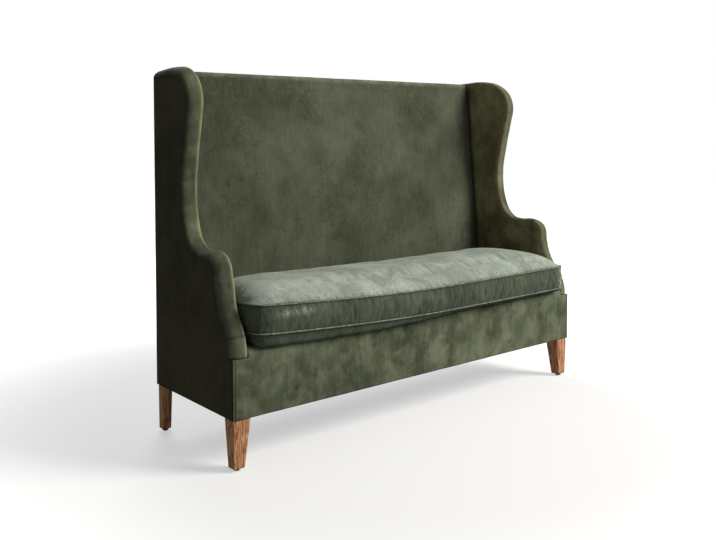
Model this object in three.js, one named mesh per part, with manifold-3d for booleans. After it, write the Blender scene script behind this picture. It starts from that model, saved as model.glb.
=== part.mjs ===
// High back settee: a padded bench with tall winged sides, a raked back, one loose seat cushion and four
// tapered wooden legs. Millimetres, +Z up. The front faces -Y, and +X is to the right of someone facing it.
import * as THREE from "three";
import { mergeVertices } from "three/addons/utils/BufferGeometryUtils.js";
import Module from "manifold-3d";

const wasm = await Module();
wasm.setup();

// Overall sizes
const frontWidth = 1633;
const frameDepth = 512;
const wingHeight = 1200;
const backDrop = 8;
const backHeight = wingHeight - backDrop;
const armHeight = 606;
const deckHeight = 362;
const rollFootHeight = 333;
const undersideHeight = 153;
const sideSplay = THREE.MathUtils.degToRad(5);
const backRake = THREE.MathUtils.degToRad(4.9);
const backTopThickness = 47;

// Thicknesses of the layers, and the gap that touching pieces keep
const gap = 0.3;
const mergeTolerance = 0.0003;
const coverThickness = 2.5;
const frontPadThickness = 12;
const wingPadThickness = 26;
const backPadThickness = 18;
const platformThickness = 23;
const boardThickness = 18;
const railThickness = 25;
const webThickness = 2;

// Padded roll along the front edge of each wing and arm
const rollWidth = 56;
const rollDepth = 28;
const rollOverhang = 3;
const seamStepsPerPoint = 2;

// Timber
const frontPostDepth = 60;
const postThickness = 45;
const sideRailHeight = 60;
const braceWidth = 30;
const braceHeight = 70;
const braceDrop = 40;
const topRailHeight = 95;
const crestPadThickness = 14;
const tackingRailHeight = 50;
const tackingRailDrop = 12;

// Webbing
const seatWebWidth = 62;
const seatWebCount = 7;
const backWebWidth = 60;
const backWebCount = 3;
const webEndMargin = 3;

// Rounded edges of the upholstery
const frontTopRadius = 22;
const frontBottomRadius = 6;
const frontWrap = 46;
const crestFrontRadius = 24;
const crestRearRadius = 10;
const crestTail = 26;
const cornerPipingRadius = 2.7;
const arcSteps = 5;

// Legs. They follow the flank, their outer faces stand almost upright, and the taper is on the inner ones.
const frontLegTopDepth = 52;
const frontLegTopWidth = 62;
const frontLegFootDepth = 36;
const frontLegFootWidth = 38;
const frontLegInset = 5;
const rearLegTopDepth = 34;
const rearLegTopWidth = 36;
const rearLegFootDepth = 30;
const rearLegFootWidth = 31;
const rearLegInset = 10;
const legSideInset = 1.5;
const legOuterTaperShare = 0.15;
const glideHeight = 8;
const glideRadius = 11;
const glidePinRadius = 1.5;
const glidePinLength = 14;
const boltRadius = 4;
const boltInPost = 50;
const boltInLeg = 45;
const boltSides = 10;

// Loose seat cushion
const cushionOverhang = 38;
const cushionSideClearance = 18;
const cushionBackClearance = 12;
const cushionBorderHeight = 85;
const cushionEdgeRise = 8;
const cushionCrown = 52;
const cushionFrontBow = 8;
const cushionSideDraw = 5;
const cushionBorderBulge = 4;
const cushionLeftLift = 37;
const cushionRightLift = 1;
const cushionLiftPower = 1.5;
const cushionRearLiftShare = 0.3;
const cushionEndShare = 0.28;
const cushionCornerRadius = 52;
const cushionShell = 2;
const cushionPipingRadius = 3;
const cushionPipingSides = 6;
const zipWidth = 26;
const zipTapeThickness = 1.2;
const zipEndMargin = 161;
const zipStopMargin = 20;
const zipSliderLength = 14;
const zipSliderHeight = 10;
const zipSliderThickness = 4;
const zipPullLength = 26;
const zipPullWidth = 6;
const zipPullThickness = 1.4;

// Sizes that follow from the ones above
const halfFront = frontWidth / 2;
const splaySlope = Math.tan(sideSplay);
const rakeSlope = Math.tan(backRake);
const skin = coverThickness + gap;
const timberBottom = undersideHeight + skin;
const webLayer = 2 * webThickness + 3 * gap;
const railTop = deckHeight - gap - platformThickness - webLayer;
const padUnderside = railTop + webLayer;
const rearFace = frameDepth - skin;
const boardInner = skin + boardThickness;
const padOuter = boardInner + gap;
const padInner = padOuter + wingPadThickness;
const wingInner = padInner + skin;
const rollInner = rollWidth - rollOverhang;
const postInner = padOuter + postThickness;
const frontTimber = skin + frontPadThickness + gap;
const postOffset = skin + backPadThickness + gap + webThickness + gap;

const faceDepth = (z) => frameDepth - backTopThickness - (backHeight - z) * rakeSlope;
const postFront = (z) => faceDepth(z) + postOffset;
const halfWidthAt = (y, inward) => halfFront - inward - y * splaySlope;

const velvet = { color: 0x4b5140, roughness: 0.85, metalness: 0 };
const cushionCloth = { color: 0x56614f, roughness: 0.9, metalness: 0 };
const foam = { color: 0xd9cfa8, roughness: 0.95, metalness: 0 };
const timber = { color: 0xc2a077, roughness: 0.75, metalness: 0 };
const legWood = { color: 0x9c6b45, roughness: 0.5, metalness: 0 };
const webbing = { color: 0x2c2b29, roughness: 0.9, metalness: 0 };
const lining = { color: 0x1d1d1d, roughness: 0.95, metalness: 0 };
const steel = { color: 0xb3b3b0, roughness: 0.35, metalness: 1 };
const brass = { color: 0x8a6d35, roughness: 0.4, metalness: 1 };
const blackPlastic = { color: 0x161616, roughness: 0.5, metalness: 0 };

const settee = new THREE.Group();

function addMesh(parent, name, geometry, finish) {
  const mesh = new THREE.Mesh(geometry, new THREE.MeshStandardMaterial(finish));
  mesh.name = name;
  parent.add(mesh);
  return mesh;
}

// Joining and cutting
function toSolid(geometry) {
  const plain = geometry.index ? geometry.toNonIndexed() : geometry.clone();
  for (const name of Object.keys(plain.attributes)) {
    if (name !== "position") plain.deleteAttribute(name);
  }
  const merged = mergeVertices(plain, mergeTolerance);
  return new wasm.Manifold(
    new wasm.Mesh({
      numProp: 3,
      vertProperties: merged.attributes.position.array,
      triVerts: new Uint32Array(merged.index.array),
    }),
  );
}

function toGeometry(solid) {
  const mesh = solid.getMesh();
  const geometry = new THREE.BufferGeometry();
  geometry.setAttribute("position", new THREE.BufferAttribute(mesh.vertProperties.slice(), 3));
  geometry.setIndex(new THREE.BufferAttribute(mesh.triVerts.slice(), 1));
  geometry.computeVertexNormals();
  return geometry;
}

const cut = (body, ...tools) =>
  toGeometry(tools.reduce((solid, tool) => solid.subtract(toSolid(tool)), toSolid(body)));
const keepInside = (body, tool) => toGeometry(toSolid(body).intersect(toSolid(tool)));

// A box between two corners
function block([x0, y0, z0], [x1, y1, z1]) {
  const box = new THREE.BoxGeometry(x1 - x0, y1 - y0, z1 - z0);
  return box.translate((x0 + x1) / 2, (y0 + y1) / 2, (z0 + z1) / 2);
}

const outline = (points) => new THREE.Shape(points.map(([a, b]) => new THREE.Vector2(a, b)));

// A profile in Y and Z, run along X between two places
function runAcross(points, xFrom, xTo) {
  const solid = new THREE.ExtrudeGeometry(outline(points), { depth: xTo - xFrom, bevelEnabled: false });
  const axes = [new THREE.Vector3(0, 1, 0), new THREE.Vector3(0, 0, 1), new THREE.Vector3(1, 0, 0)];
  return solid.applyMatrix4(new THREE.Matrix4().makeBasis(...axes)).translate(xFrom, 0, 0);
}

// A flank is drawn as depth Y, distance in from the outside panel and height Z, then sheared to the splay.
const flankShear = new THREE.Matrix4().set(
  -splaySlope, -1, 0, halfFront,
  1, 0, 0, 0,
  0, 0, 1, 0,
  0, 0, 0, 1,
);

// A profile in Y and Z on the right flank, between two distances in from the outside panel
function flankPanel(points, inFrom, inTo) {
  const solid = new THREE.ExtrudeGeometry(outline(points), { depth: inTo - inFrom, bevelEnabled: false });
  return solid.rotateX(Math.PI / 2).translate(0, inTo, 0).applyMatrix4(flankShear);
}

// The space between the two flanks, from the floor up, as a tool to trim what spans it
function interior(inward) {
  const plan = [
    [halfWidthAt(0, inward) + frameDepth * splaySlope, -frameDepth],
    [halfWidthAt(frameDepth, inward) - frameDepth * splaySlope, 2 * frameDepth],
  ];
  const corners = [...plan, ...plan.map(([x, y]) => [-x, y]).reverse()];
  return new THREE.ExtrudeGeometry(outline(corners), { depth: 2 * wingHeight, bevelEnabled: false });
}

function arc(cy, cz, radius, fromAngle, toAngle) {
  return Array.from({ length: arcSteps + 1 }, (_, i) => {
    const angle = fromAngle + ((toAngle - fromAngle) * i) / arcSteps;
    return [cy + radius * Math.cos(angle), cz + radius * Math.sin(angle)];
  });
}

// Rings of equal length joined into one closed skin, with a fan over each end
function skinOver(rings) {
  const size = rings[0].length;
  const positions = rings.flat().flatMap((p) => [p.x, p.y, p.z]);
  const faces = [];
  for (let r = 0; r + 1 < rings.length; r += 1) {
    for (let i = 0; i < size; i += 1) {
      const a = r * size + i;
      const b = r * size + ((i + 1) % size);
      faces.push(a, b, b + size, a, b + size, a + size);
    }
  }
  const last = (rings.length - 1) * size;
  for (let i = 1; i + 1 < size; i += 1) {
    faces.push(0, i + 1, i, last, last + i, last + i + 1);
  }
  const geometry = new THREE.BufferGeometry();
  geometry.setAttribute("position", new THREE.Float32BufferAttribute(positions, 3));
  geometry.setIndex(faces);
  return geometry;
}

// A round cord along a closed loop of points
function cordLoop(points, radius, sides) {
  const up = new THREE.Vector3(0, 0, 1);
  const positions = [];
  const faces = [];
  points.forEach((point, i) => {
    const before = points[(i + points.length - 1) % points.length];
    const after = points[(i + 1) % points.length];
    const outward = new THREE.Vector3().subVectors(after, before).cross(up).normalize();
    for (let k = 0; k < sides; k += 1) {
      const angle = (2 * Math.PI * k) / sides;
      const place = point.clone().addScaledVector(outward, radius * Math.cos(angle));
      place.addScaledVector(up, radius * Math.sin(angle));
      positions.push(place.x, place.y, place.z);
      const a = i * sides + k;
      const b = i * sides + ((k + 1) % sides);
      const c = ((i + 1) % points.length) * sides;
      faces.push(a, c + k, c + ((k + 1) % sides), a, c + ((k + 1) % sides), b);
    }
  });
  const geometry = new THREE.BufferGeometry();
  geometry.setAttribute("position", new THREE.Float32BufferAttribute(positions, 3));
  geometry.setIndex(faces);
  return geometry;
}

// Seam line where the outside panel meets the padded roll, from the arm's foot up to the rear of the wing.
// Depths are shares of the frame's depth; heights are shares of the arm's rise, then of the wing's rise.
// The last share is how far the roll stands proud of the seam there.
const armShares = [
  [0.055, 0, 1.2], [0.062, 0.1, 1.25], [0.092, 0.245, 1.3], [0.143, 0.374, 1.3], [0.194, 0.557, 1.25],
  [0.222, 0.777, 1.15], [0.231, 0.94, 1.05], [0.273, 0.995, 1], [0.371, 1, 0.9],
];
const wingShares = [
  [0.478, 0.02, 0.85], [0.561, 0.087, 0.8], [0.613, 0.21, 0.78], [0.63, 0.396, 0.78],
  [0.6, 0.564, 0.78], [0.556, 0.758, 0.8], [0.539, 0.855, 0.85], [0.574, 0.936, 0.9],
  [0.65, 0.984, 0.95], [0.78, 1, 1], [1, 0.989, 1],
];
const wingSeamHeight = wingHeight - rollDepth;
const seamPoints = [
  ...armShares.map(([y, z, out]) => [y * frameDepth, rollFootHeight + z * (armHeight - rollFootHeight), out]),
  ...wingShares.map(([y, z, out]) => [y * frameDepth, armHeight + z * (wingSeamHeight - armHeight), out]),
];
const seamCurve = new THREE.CatmullRomCurve3(
  seamPoints.map(([y, z, out]) => new THREE.Vector3(out, y, z)),
  false,
  "centripetal",
);
const seam = seamCurve.getPoints((seamPoints.length - 1) * seamStepsPerPoint).map((p) => [p.y, p.z, p.x]);
const seamFoot = seam[0];
const seamRearHeight = seam[seam.length - 1][1];
const seamInFront = seam.filter(([y]) => y < rearFace);

// Each layer of a flank: the seam line is its front edge, and the layer's own bottom and rear close it.
function fullFlank(frontEdge, bottom) {
  return [
    [frontEdge, bottom],
    [rearFace, bottom],
    [rearFace, seamRearHeight],
    ...seamInFront.slice(1).reverse(),
    [seamFoot[0], rollFootHeight],
    [frontEdge, rollFootHeight - gap],
  ];
}

function innerFlank(bottom) {
  const rearEdge = (z) => postFront(z) - gap;
  const inFront = seam.filter(([y, z]) => z > bottom && y < rearEdge(z));
  const share = (bottom - seam[0][1]) / (seam[1][1] - seam[0][1]);
  const start = seam[0][0] + share * (seam[1][0] - seam[0][0]);
  return [
    [start, bottom],
    [rearEdge(bottom), bottom],
    [rearEdge(seamRearHeight), seamRearHeight],
    ...inFront.reverse(),
  ];
}

// Padded roll: a section carried along the seam line, its flat side against the layers behind it. The section
// rises gently from the outside seam and is fullest near its inner edge; it is given from the inner edge out,
// as shares of its width and of its height.
const rollSectionShares = [
  [1, 0], [0.99, 0.45], [0.93, 0.82], [0.78, 1], [0.56, 0.93], [0.32, 0.76], [0.11, 0.46], [0, 0],
];
function wingRoll() {
  const [footY, footZ, footProud] = seamFoot;
  const lastProud = seam[seam.length - 1][2];
  const path = [
    [footY, footZ - rollDepth, footProud],
    ...seam,
    [frameDepth, seamRearHeight, lastProud],
  ].filter(([y], i, all) => i === all.length - 1 || y < rearFace);
  const rings = path.map(([y, z, proudShare], i) => {
    const before = path[Math.max(i - 1, 0)];
    const after = path[Math.min(i + 1, path.length - 1)];
    const along = new THREE.Vector2(after[0] - before[0], after[1] - before[1]).normalize();
    const out = new THREE.Vector2(-along.y, along.x);
    return rollSectionShares.map(([across, up]) => {
      const proud = gap + (rollDepth * proudShare - gap) * up;
      const inward = across * rollWidth - rollOverhang;
      return new THREE.Vector3(y + out.x * proud, inward, z + out.y * proud).applyMatrix4(flankShear);
    });
  });
  const room = block([0, -frameDepth, rollFootHeight], [frontWidth, rearFace, 2 * wingHeight]);
  return keepInside(skinOver(rings), room);
}

// Legs: a taper between two rectangles, each given by its depth from the front and its distance in from the
// outside panel
const legSizes = {
  front: { top: [frontLegTopDepth, frontLegTopWidth], foot: [frontLegFootDepth, frontLegFootWidth] },
  rear: { top: [rearLegTopDepth, rearLegTopWidth], foot: [rearLegFootDepth, rearLegFootWidth] },
};
function legPlan(end, level) {
  const [depth, width] = legSizes[end][level];
  const [topDepth, topWidth] = legSizes[end].top;
  const drawnIn = legOuterTaperShare * (topDepth - depth);
  const front = end === "front" ? frontLegInset + drawnIn : frameDepth - rearLegInset - drawnIn - depth;
  const outer = legSideInset + legOuterTaperShare * (topWidth - width);
  return { front, outer, rear: front + depth, inner: outer + width };
}

function legShape(end) {
  const rings = [["foot", glideHeight], ["top", undersideHeight - gap]].map(([level, z]) => {
    const { front, outer, rear, inner } = legPlan(end, level);
    const corners = [[front, outer], [rear, outer], [rear, inner], [front, inner]];
    return corners.map(([y, inward]) => new THREE.Vector3(y, inward, z).applyMatrix4(flankShear));
  });
  return skinOver(rings);
}

function rod(radius, zFrom, zTo, sides) {
  const solid = new THREE.CylinderGeometry(radius, radius, zTo - zFrom, sides);
  return solid.rotateX(Math.PI / 2).translate(0, 0, (zFrom + zTo) / 2);
}

function glideShape() {
  const top = glideHeight - gap;
  const profile = [
    [0, 0], [glideRadius - top / 2, 0], [glideRadius, top / 2], [glideRadius, top],
    [glidePinRadius, top], [glidePinRadius, top + glidePinLength], [0, top + glidePinLength],
  ];
  const points = profile.map(([r, z]) => new THREE.Vector2(r, z));
  return new THREE.LatheGeometry(points, 2 * boltSides).rotateX(Math.PI / 2);
}

const boltTop = timberBottom + boltInPost;
const boltFoot = undersideHeight - boltInLeg;
const boltBore = rod(boltRadius + gap, boltFoot - gap, boltTop + gap, boltSides);
const pinBore = rod(glidePinRadius + gap, 0, glideHeight + glidePinLength + gap, boltSides);

// A bolt stands where the leg and the post above it both have wood round it; a glide sits in the foot's middle.
const boltInward = padOuter + 2 * boltRadius;
const legPlaces = Object.keys(legSizes).map((end) => {
  const [top, foot] = [legPlan(end, "top"), legPlan(end, "foot")];
  const boltY = (top.front + top.rear) / 2;
  const glideY = (foot.front + foot.rear) / 2;
  const glideX = halfWidthAt(glideY, (foot.outer + foot.inner) / 2);
  return { end, bolt: [halfWidthAt(boltY, boltInward), boltY], glide: [glideX, glideY] };
});

// Both flanks: the left one is the right one's mirror image.
for (const side of ["right", "left"]) {
  const flank = new THREE.Group();
  flank.scale.x = side === "left" ? -1 : 1;
  settee.add(flank);

  const [frontBore, rearBore] = legPlaces.map(({ bolt }) => boltBore.clone().translate(...bolt, 0));

  addMesh(
    flank,
    `outside_panel_${side}`,
    flankPanel(fullFlank(2 * cornerPipingRadius + gap, undersideHeight), 0, coverThickness),
    velvet,
  );
  addMesh(
    flank,
    `wing_board_${side}`,
    flankPanel(fullFlank(frontTimber, timberBottom), skin, boardInner),
    timber,
  );
  const innerOutline = innerFlank(railTop + gap);
  addMesh(flank, `wing_pad_${side}`, flankPanel(innerOutline, padOuter, padInner), foam);
  addMesh(flank, `inside_wing_cover_${side}`, flankPanel(innerOutline, padInner + gap, wingInner), velvet);
  addMesh(flank, `wing_roll_${side}`, wingRoll(), velvet);

  const frontPostTop = Math.min(railTop, rollFootHeight - gap);
  const frontPost = [
    [frontTimber, timberBottom],
    [frontTimber + frontPostDepth, timberBottom],
    [frontTimber + frontPostDepth, frontPostTop],
    [frontTimber, frontPostTop],
  ];
  addMesh(flank, `front_post_${side}`, cut(flankPanel(frontPost, padOuter, postInner), frontBore), timber);

  const postTop = seamRearHeight - crestPadThickness;
  const backPost = [
    [postFront(timberBottom), timberBottom],
    [rearFace, timberBottom],
    [rearFace, postTop],
    [postFront(postTop), postTop],
  ];
  addMesh(flank, `back_post_${side}`, cut(flankPanel(backPost, padOuter, postInner), rearBore), timber);

  const railBottom = railTop - sideRailHeight;
  const sideRail = [
    [frontTimber + frontPostDepth + gap, railBottom],
    [postFront(railBottom) - gap, railBottom],
    [postFront(railBottom) - gap, railTop],
    [frontTimber + frontPostDepth + gap, railTop],
  ];
  addMesh(flank, `side_seat_rail_${side}`, flankPanel(sideRail, padOuter, postInner), timber);

  // Piping up the front corner, from the underside to the foot of the roll
  const piping = rod(cornerPipingRadius, undersideHeight, rollFootHeight - gap, boltSides);
  piping.translate(halfFront - cornerPipingRadius, cornerPipingRadius, 0);
  addMesh(flank, `corner_piping_${side}`, piping, velvet);

  for (const { end, bolt, glide } of legPlaces) {
    const leg = cut(
      legShape(end),
      boltBore.clone().translate(...bolt, 0),
      pinBore.clone().translate(...glide, 0),
    );
    addMesh(flank, `leg_${end}_${side}`, leg, legWood);
    addMesh(flank, `glide_${end}_${side}`, glideShape().translate(...glide, 0), blackPlastic);
    const shank = rod(boltRadius, boltFoot, boltTop, boltSides).translate(...bolt, 0);
    addMesh(flank, `leg_bolt_${end}_${side}`, shank, steel);
  }
}

const boltHoles = [1, -1].flatMap((sign) =>
  legPlaces.map(({ bolt: [x, y] }) => boltBore.clone().translate(sign * x, y, 0)),
);

// Seat rails, brace and tacking rail
function railBetween(inward, yFrom, yTo, zFrom, zTo) {
  return keepInside(block([-halfFront, yFrom, zFrom], [halfFront, yTo, zTo]), interior(inward));
}

const insidePosts = postInner + gap;
addMesh(
  settee,
  "front_seat_rail",
  railBetween(insidePosts, frontTimber, frontTimber + railThickness, timberBottom, railTop),
  timber,
);
addMesh(
  settee,
  "rear_seat_rail",
  railBetween(insidePosts, rearFace - railThickness, rearFace, timberBottom, railTop),
  timber,
);
const braceTop = railTop - braceDrop;
addMesh(
  settee,
  "centre_seat_brace",
  block(
    [-braceWidth / 2, frontTimber + railThickness + gap, braceTop - braceHeight],
    [braceWidth / 2, rearFace - railThickness - gap, braceTop],
  ),
  timber,
);

function rakedRail(zFrom, zTo, rearAt) {
  const profile = [
    [postFront(zFrom), zFrom],
    [rearAt(zFrom), zFrom],
    [rearAt(zTo), zTo],
    [postFront(zTo), zTo],
  ];
  return keepInside(runAcross(profile, -halfFront, halfFront), interior(insidePosts));
}
const topRailTop = backHeight - skin - crestPadThickness;
addMesh(settee, "back_top_rail", rakedRail(topRailTop - topRailHeight, topRailTop, () => rearFace), timber);
const tackingTop = deckHeight + tackingRailHeight - tackingRailDrop;
addMesh(
  settee,
  "back_tacking_rail",
  rakedRail(deckHeight - tackingRailDrop, tackingTop, (z) => postFront(z) + railThickness),
  timber,
);

// Seat webbing: straps from the front rail to the rear rail, and one strap woven through them
const webSpan = 2 * halfWidthAt(frameDepth, insidePosts) - seatWebWidth - 2 * webEndMargin;
const webPlaces = Array.from(
  { length: seatWebCount },
  (_, i) => -webSpan / 2 + (webSpan * i) / Math.max(seatWebCount - 1, 1),
);
webPlaces.forEach((x, i) => {
  const low = [x - seatWebWidth / 2, frontTimber + webEndMargin, railTop + gap];
  const high = [x + seatWebWidth / 2, rearFace - webEndMargin, railTop + gap + webThickness];
  addMesh(settee, `seat_web_${i + 1}`, block(low, high), webbing);
});

const longWebY = (frontTimber + rearFace) / 2;
const longWebEnd = halfWidthAt(longWebY + seatWebWidth / 2, wingInner + webEndMargin);
const railWebLevel = railTop + gap;
const weave = [[-longWebEnd, railWebLevel], [-halfWidthAt(longWebY, postInner) - gap, railWebLevel]];
webPlaces.forEach((x, i) => {
  const step = i % 2 ? -webThickness - gap : webThickness + gap;
  const reach = seatWebWidth / 2 + webThickness;
  weave.push([x - reach, railWebLevel + step], [x + reach, railWebLevel + step]);
});
weave.push([halfWidthAt(longWebY, postInner) + gap, railWebLevel], [longWebEnd, railWebLevel]);
const weaveOutline = [...weave, ...weave.map(([x, z]) => [x, z + webThickness]).reverse()];
const longWeb = new THREE.ExtrudeGeometry(outline(weaveOutline), {
  depth: seatWebWidth,
  bevelEnabled: false,
});
longWeb.rotateX(Math.PI / 2).translate(0, longWebY + seatWebWidth / 2, 0);
addMesh(settee, "seat_web_long", longWeb, webbing);

// Platform under the cushion
const platform = keepInside(
  block(
    [-halfFront, frontWrap + gap, padUnderside],
    [halfFront, faceDepth(padUnderside) - gap, padUnderside + platformThickness],
  ),
  interior(rollInner + gap),
);
addMesh(settee, "seat_platform_pad", platform, foam);

// Front of the seat: a pad over the rail with a rounded top edge, and its cover wrapped under and over
function frontLine(inset, wrapFrom) {
  const low = undersideHeight + frontBottomRadius;
  const high = deckHeight - frontTopRadius;
  return [
    ...(wrapFrom ? [[frontWrap, undersideHeight + inset]] : []),
    ...arc(frontBottomRadius, low, frontBottomRadius - inset, -Math.PI / 2, -Math.PI),
    ...arc(frontTopRadius, high, frontTopRadius - inset, Math.PI, Math.PI / 2),
    [frontWrap, deckHeight - inset],
  ];
}
const frontEnd = halfFront - 2 * cornerPipingRadius - gap;
const rollSeats = [1, -1].map((sign) => {
  const inner = halfWidthAt(frontWrap, rollInner) - webEndMargin;
  const low = [Math.min(sign * inner, sign * frontWidth), -frameDepth, rollFootHeight - gap];
  const high = [Math.max(sign * inner, sign * frontWidth), frameDepth, wingHeight];
  return block(low, high);
});
const frontPadOutline = [
  ...frontLine(skin, false),
  [frontWrap, padUnderside],
  [skin + frontPadThickness, padUnderside],
  [skin + frontPadThickness, timberBottom],
];
addMesh(settee, "front_pad", cut(runAcross(frontPadOutline, -frontEnd, frontEnd), ...rollSeats), foam);
const frontCoverOutline = [...frontLine(0, true), ...frontLine(coverThickness, true).reverse()];
addMesh(
  settee,
  "front_cover",
  cut(
    keepInside(runAcross(frontCoverOutline, -frontEnd, frontEnd), interior(skin)),
    ...rollSeats,
    ...boltHoles,
  ),
  velvet,
);

// Inside back: a raked pad over the webbing and the top rail, and its cover carried over the crest
const backBottom = padUnderside;
function crestLine(inset) {
  const frontArcHeight = backHeight - crestFrontRadius;
  const frontCentre = faceDepth(frontArcHeight) + crestFrontRadius;
  const rearHeight = backHeight - crestRearRadius;
  return [
    [faceDepth(backBottom) + inset, backBottom],
    ...arc(frontCentre, frontArcHeight, crestFrontRadius - inset, Math.PI, Math.PI / 2),
    ...arc(frameDepth - crestRearRadius, rearHeight, crestRearRadius - inset, Math.PI / 2, 0),
  ];
}
const crestTailHeight = backHeight - crestTail;
const backPadOutline = [
  ...crestLine(skin),
  [rearFace, topRailTop + gap],
  [faceDepth(topRailTop + gap) + skin + backPadThickness, topRailTop + gap],
  [faceDepth(backBottom) + skin + backPadThickness, backBottom],
];
const betweenWings = interior(rollInner + gap);
addMesh(
  settee,
  "inside_back_pad",
  keepInside(runAcross(backPadOutline, -halfFront, halfFront), betweenWings),
  foam,
);
const backCoverOutline = [
  ...crestLine(0),
  [frameDepth, crestTailHeight],
  [frameDepth - coverThickness, crestTailHeight],
  ...crestLine(coverThickness).reverse(),
];
addMesh(
  settee,
  "inside_back_cover",
  keepInside(runAcross(backCoverOutline, -halfFront, halfFront), betweenWings),
  velvet,
);

const backWebLow = tackingTop + backWebWidth;
const backWebHigh = topRailTop - topRailHeight - backWebWidth;
const backWebEnd = halfWidthAt(frameDepth, rollInner + gap);
for (let i = 0; i < backWebCount; i += 1) {
  const z0 = backWebLow + ((backWebHigh - backWebWidth - backWebLow) * i) / Math.max(backWebCount - 1, 1);
  const z1 = z0 + backWebWidth;
  const strap = [
    [postFront(z0) - gap - webThickness, z0],
    [postFront(z0) - gap, z0],
    [postFront(z1) - gap, z1],
    [postFront(z1) - gap - webThickness, z1],
  ];
  addMesh(settee, `back_web_${i + 1}`, runAcross(strap, -backWebEnd, backWebEnd), webbing);
}

// Outside back panel and the lining under the seat
const backPanel = keepInside(
  block([-halfFront, rearFace + gap, undersideHeight], [halfFront, frameDepth, crestTailHeight - gap]),
  interior(0),
);
addMesh(settee, "outside_back_panel", backPanel, velvet);
const underLining = keepInside(
  block(
    [-halfFront, frontWrap + gap, undersideHeight],
    [halfFront, rearFace, undersideHeight + coverThickness],
  ),
  interior(skin),
);
addMesh(settee, "underside_lining", cut(underLining, ...boltHoles), lining);

// Seat cushion: its plan narrows to the back, its front bows out and its sides draw in between the corners.
// It is a tight fit between the arms, and its left end rides up, most of all in front.
const cushion = new THREE.Group();
settee.add(cushion);
const cushionBase = deckHeight + gap;
const cushionSeamLow = cushionBase + cushionEdgeRise;
const cushionSeamHigh = cushionSeamLow + cushionBorderHeight;
const cushionRear = faceDepth(cushionSeamLow) - cushionBackClearance;
const cushionFront = cushionFrontBow / 2 - cushionOverhang;
const cushionMiddleY = (cushionFront + cushionRear) / 2;
const cushionInward = rollInner + cushionSideClearance;

function cushionPlan(inset) {
  const front = cushionFront + inset;
  const rear = cushionRear - inset;
  const half = (y) => halfWidthAt(y, cushionInward) - inset;
  const r = cushionCornerRadius;
  const middle = (front + rear) / 2;
  const straight = half(front) - r;
  const bowed = front - cushionFrontBow / 2;
  const shape = new THREE.Shape();
  shape.moveTo(0, bowed);
  shape.quadraticCurveTo(straight / 2, bowed, straight, front);
  shape.quadraticCurveTo(half(front), front, half(front + r), front + r);
  shape.quadraticCurveTo(half(middle) - cushionSideDraw, middle, half(rear - r), rear - r);
  shape.quadraticCurveTo(half(rear), rear, half(rear) - r, rear);
  shape.quadraticCurveTo(0, rear, r - half(rear), rear);
  shape.quadraticCurveTo(-half(rear), rear, -half(rear - r), rear - r);
  shape.quadraticCurveTo(cushionSideDraw - half(middle), middle, -half(front + r), front + r);
  shape.quadraticCurveTo(-half(front), front, -straight, front);
  shape.quadraticCurveTo(-straight / 2, bowed, 0, bowed);
  const points = shape.getPoints(arcSteps);
  points.pop();
  return points;
}

// Rings from the middle of the underside out to the low seam, up the border and in to the crown.
// Each share is how far out the ring lies, its height between the seams, its fill above or below them, and how
// much of the left end's lift it takes. The rings close in on the long sides sooner than on the ends.
const cushionRingShares = [
  { out: 0.3, seam: 0, fill: -1, lifted: 0.15 },
  { out: 0.75, seam: 0, fill: -1, lifted: 0.5 },
  { out: 0.92, seam: 0, fill: -1, lifted: 0.7 },
  { out: 1, seam: 0, fill: 0 },
  { out: 1, seam: 0.5, fill: 0, bulge: 1 },
  { out: 1, seam: 1, fill: 0 },
  { out: 0.95, seam: 1, fill: 0.17 },
  { out: 0.82, seam: 1, fill: 0.5 },
  { out: 0.6, seam: 1, fill: 0.82 },
  { out: 0.3, seam: 1, fill: 1 },
];

function cushionLift(x, y) {
  const lift = x < 0 ? cushionLeftLift : cushionRightLift;
  const back = (y - cushionFront) / (cushionRear - cushionFront);
  const share = 1 - (1 - cushionRearLiftShare) * back;
  return lift * share * (Math.abs(x) / halfFront) ** cushionLiftPower;
}

function cushionForm(inset) {
  const rise = cushionSeamHigh - cushionSeamLow - 2 * inset;
  const rings = cushionRingShares.map(({ out, seam: level, fill, bulge = 0, lifted = 1 }) => {
    const plan = cushionPlan(inset - bulge * cushionBorderBulge);
    return plan.map((p) => {
      const x = p.x * (1 - (1 - out) * cushionEndShare);
      const y = cushionMiddleY + (p.y - cushionMiddleY) * out;
      const depth = fill < 0 ? cushionEdgeRise : cushionCrown;
      const z = cushionSeamLow + inset + level * rise + fill * depth + cushionLift(x, y) * lifted;
      return new THREE.Vector3(x, y, z);
    });
  });
  return skinOver(rings);
}

const core = cushionForm(cushionShell + gap);
addMesh(cushion, "cushion_core", core, foam);
const zipHalf = halfWidthAt(cushionRear, cushionInward) - zipEndMargin;
const zipMiddleZ = (cushionSeamLow + cushionSeamHigh) / 2;
const borderRear = cushionRear + cushionBorderBulge;
const zipSlot = block(
  [-zipHalf, cushionRear - cushionShell - gap, zipMiddleZ - zipWidth / 2],
  [zipHalf, borderRear + cushionShell, zipMiddleZ + zipWidth / 2],
);
addMesh(cushion, "cushion_cover", cut(cushionForm(0), cushionForm(cushionShell), zipSlot), cushionCloth);
const tapeRear = borderRear - (cushionShell - zipTapeThickness) / 2;
addMesh(
  cushion,
  "cushion_zip_tape",
  block(
    [gap - zipHalf, tapeRear - zipTapeThickness, zipMiddleZ - zipWidth / 2 + gap],
    [zipHalf - gap, tapeRear, zipMiddleZ + zipWidth / 2 - gap],
  ),
  blackPlastic,
);

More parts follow.
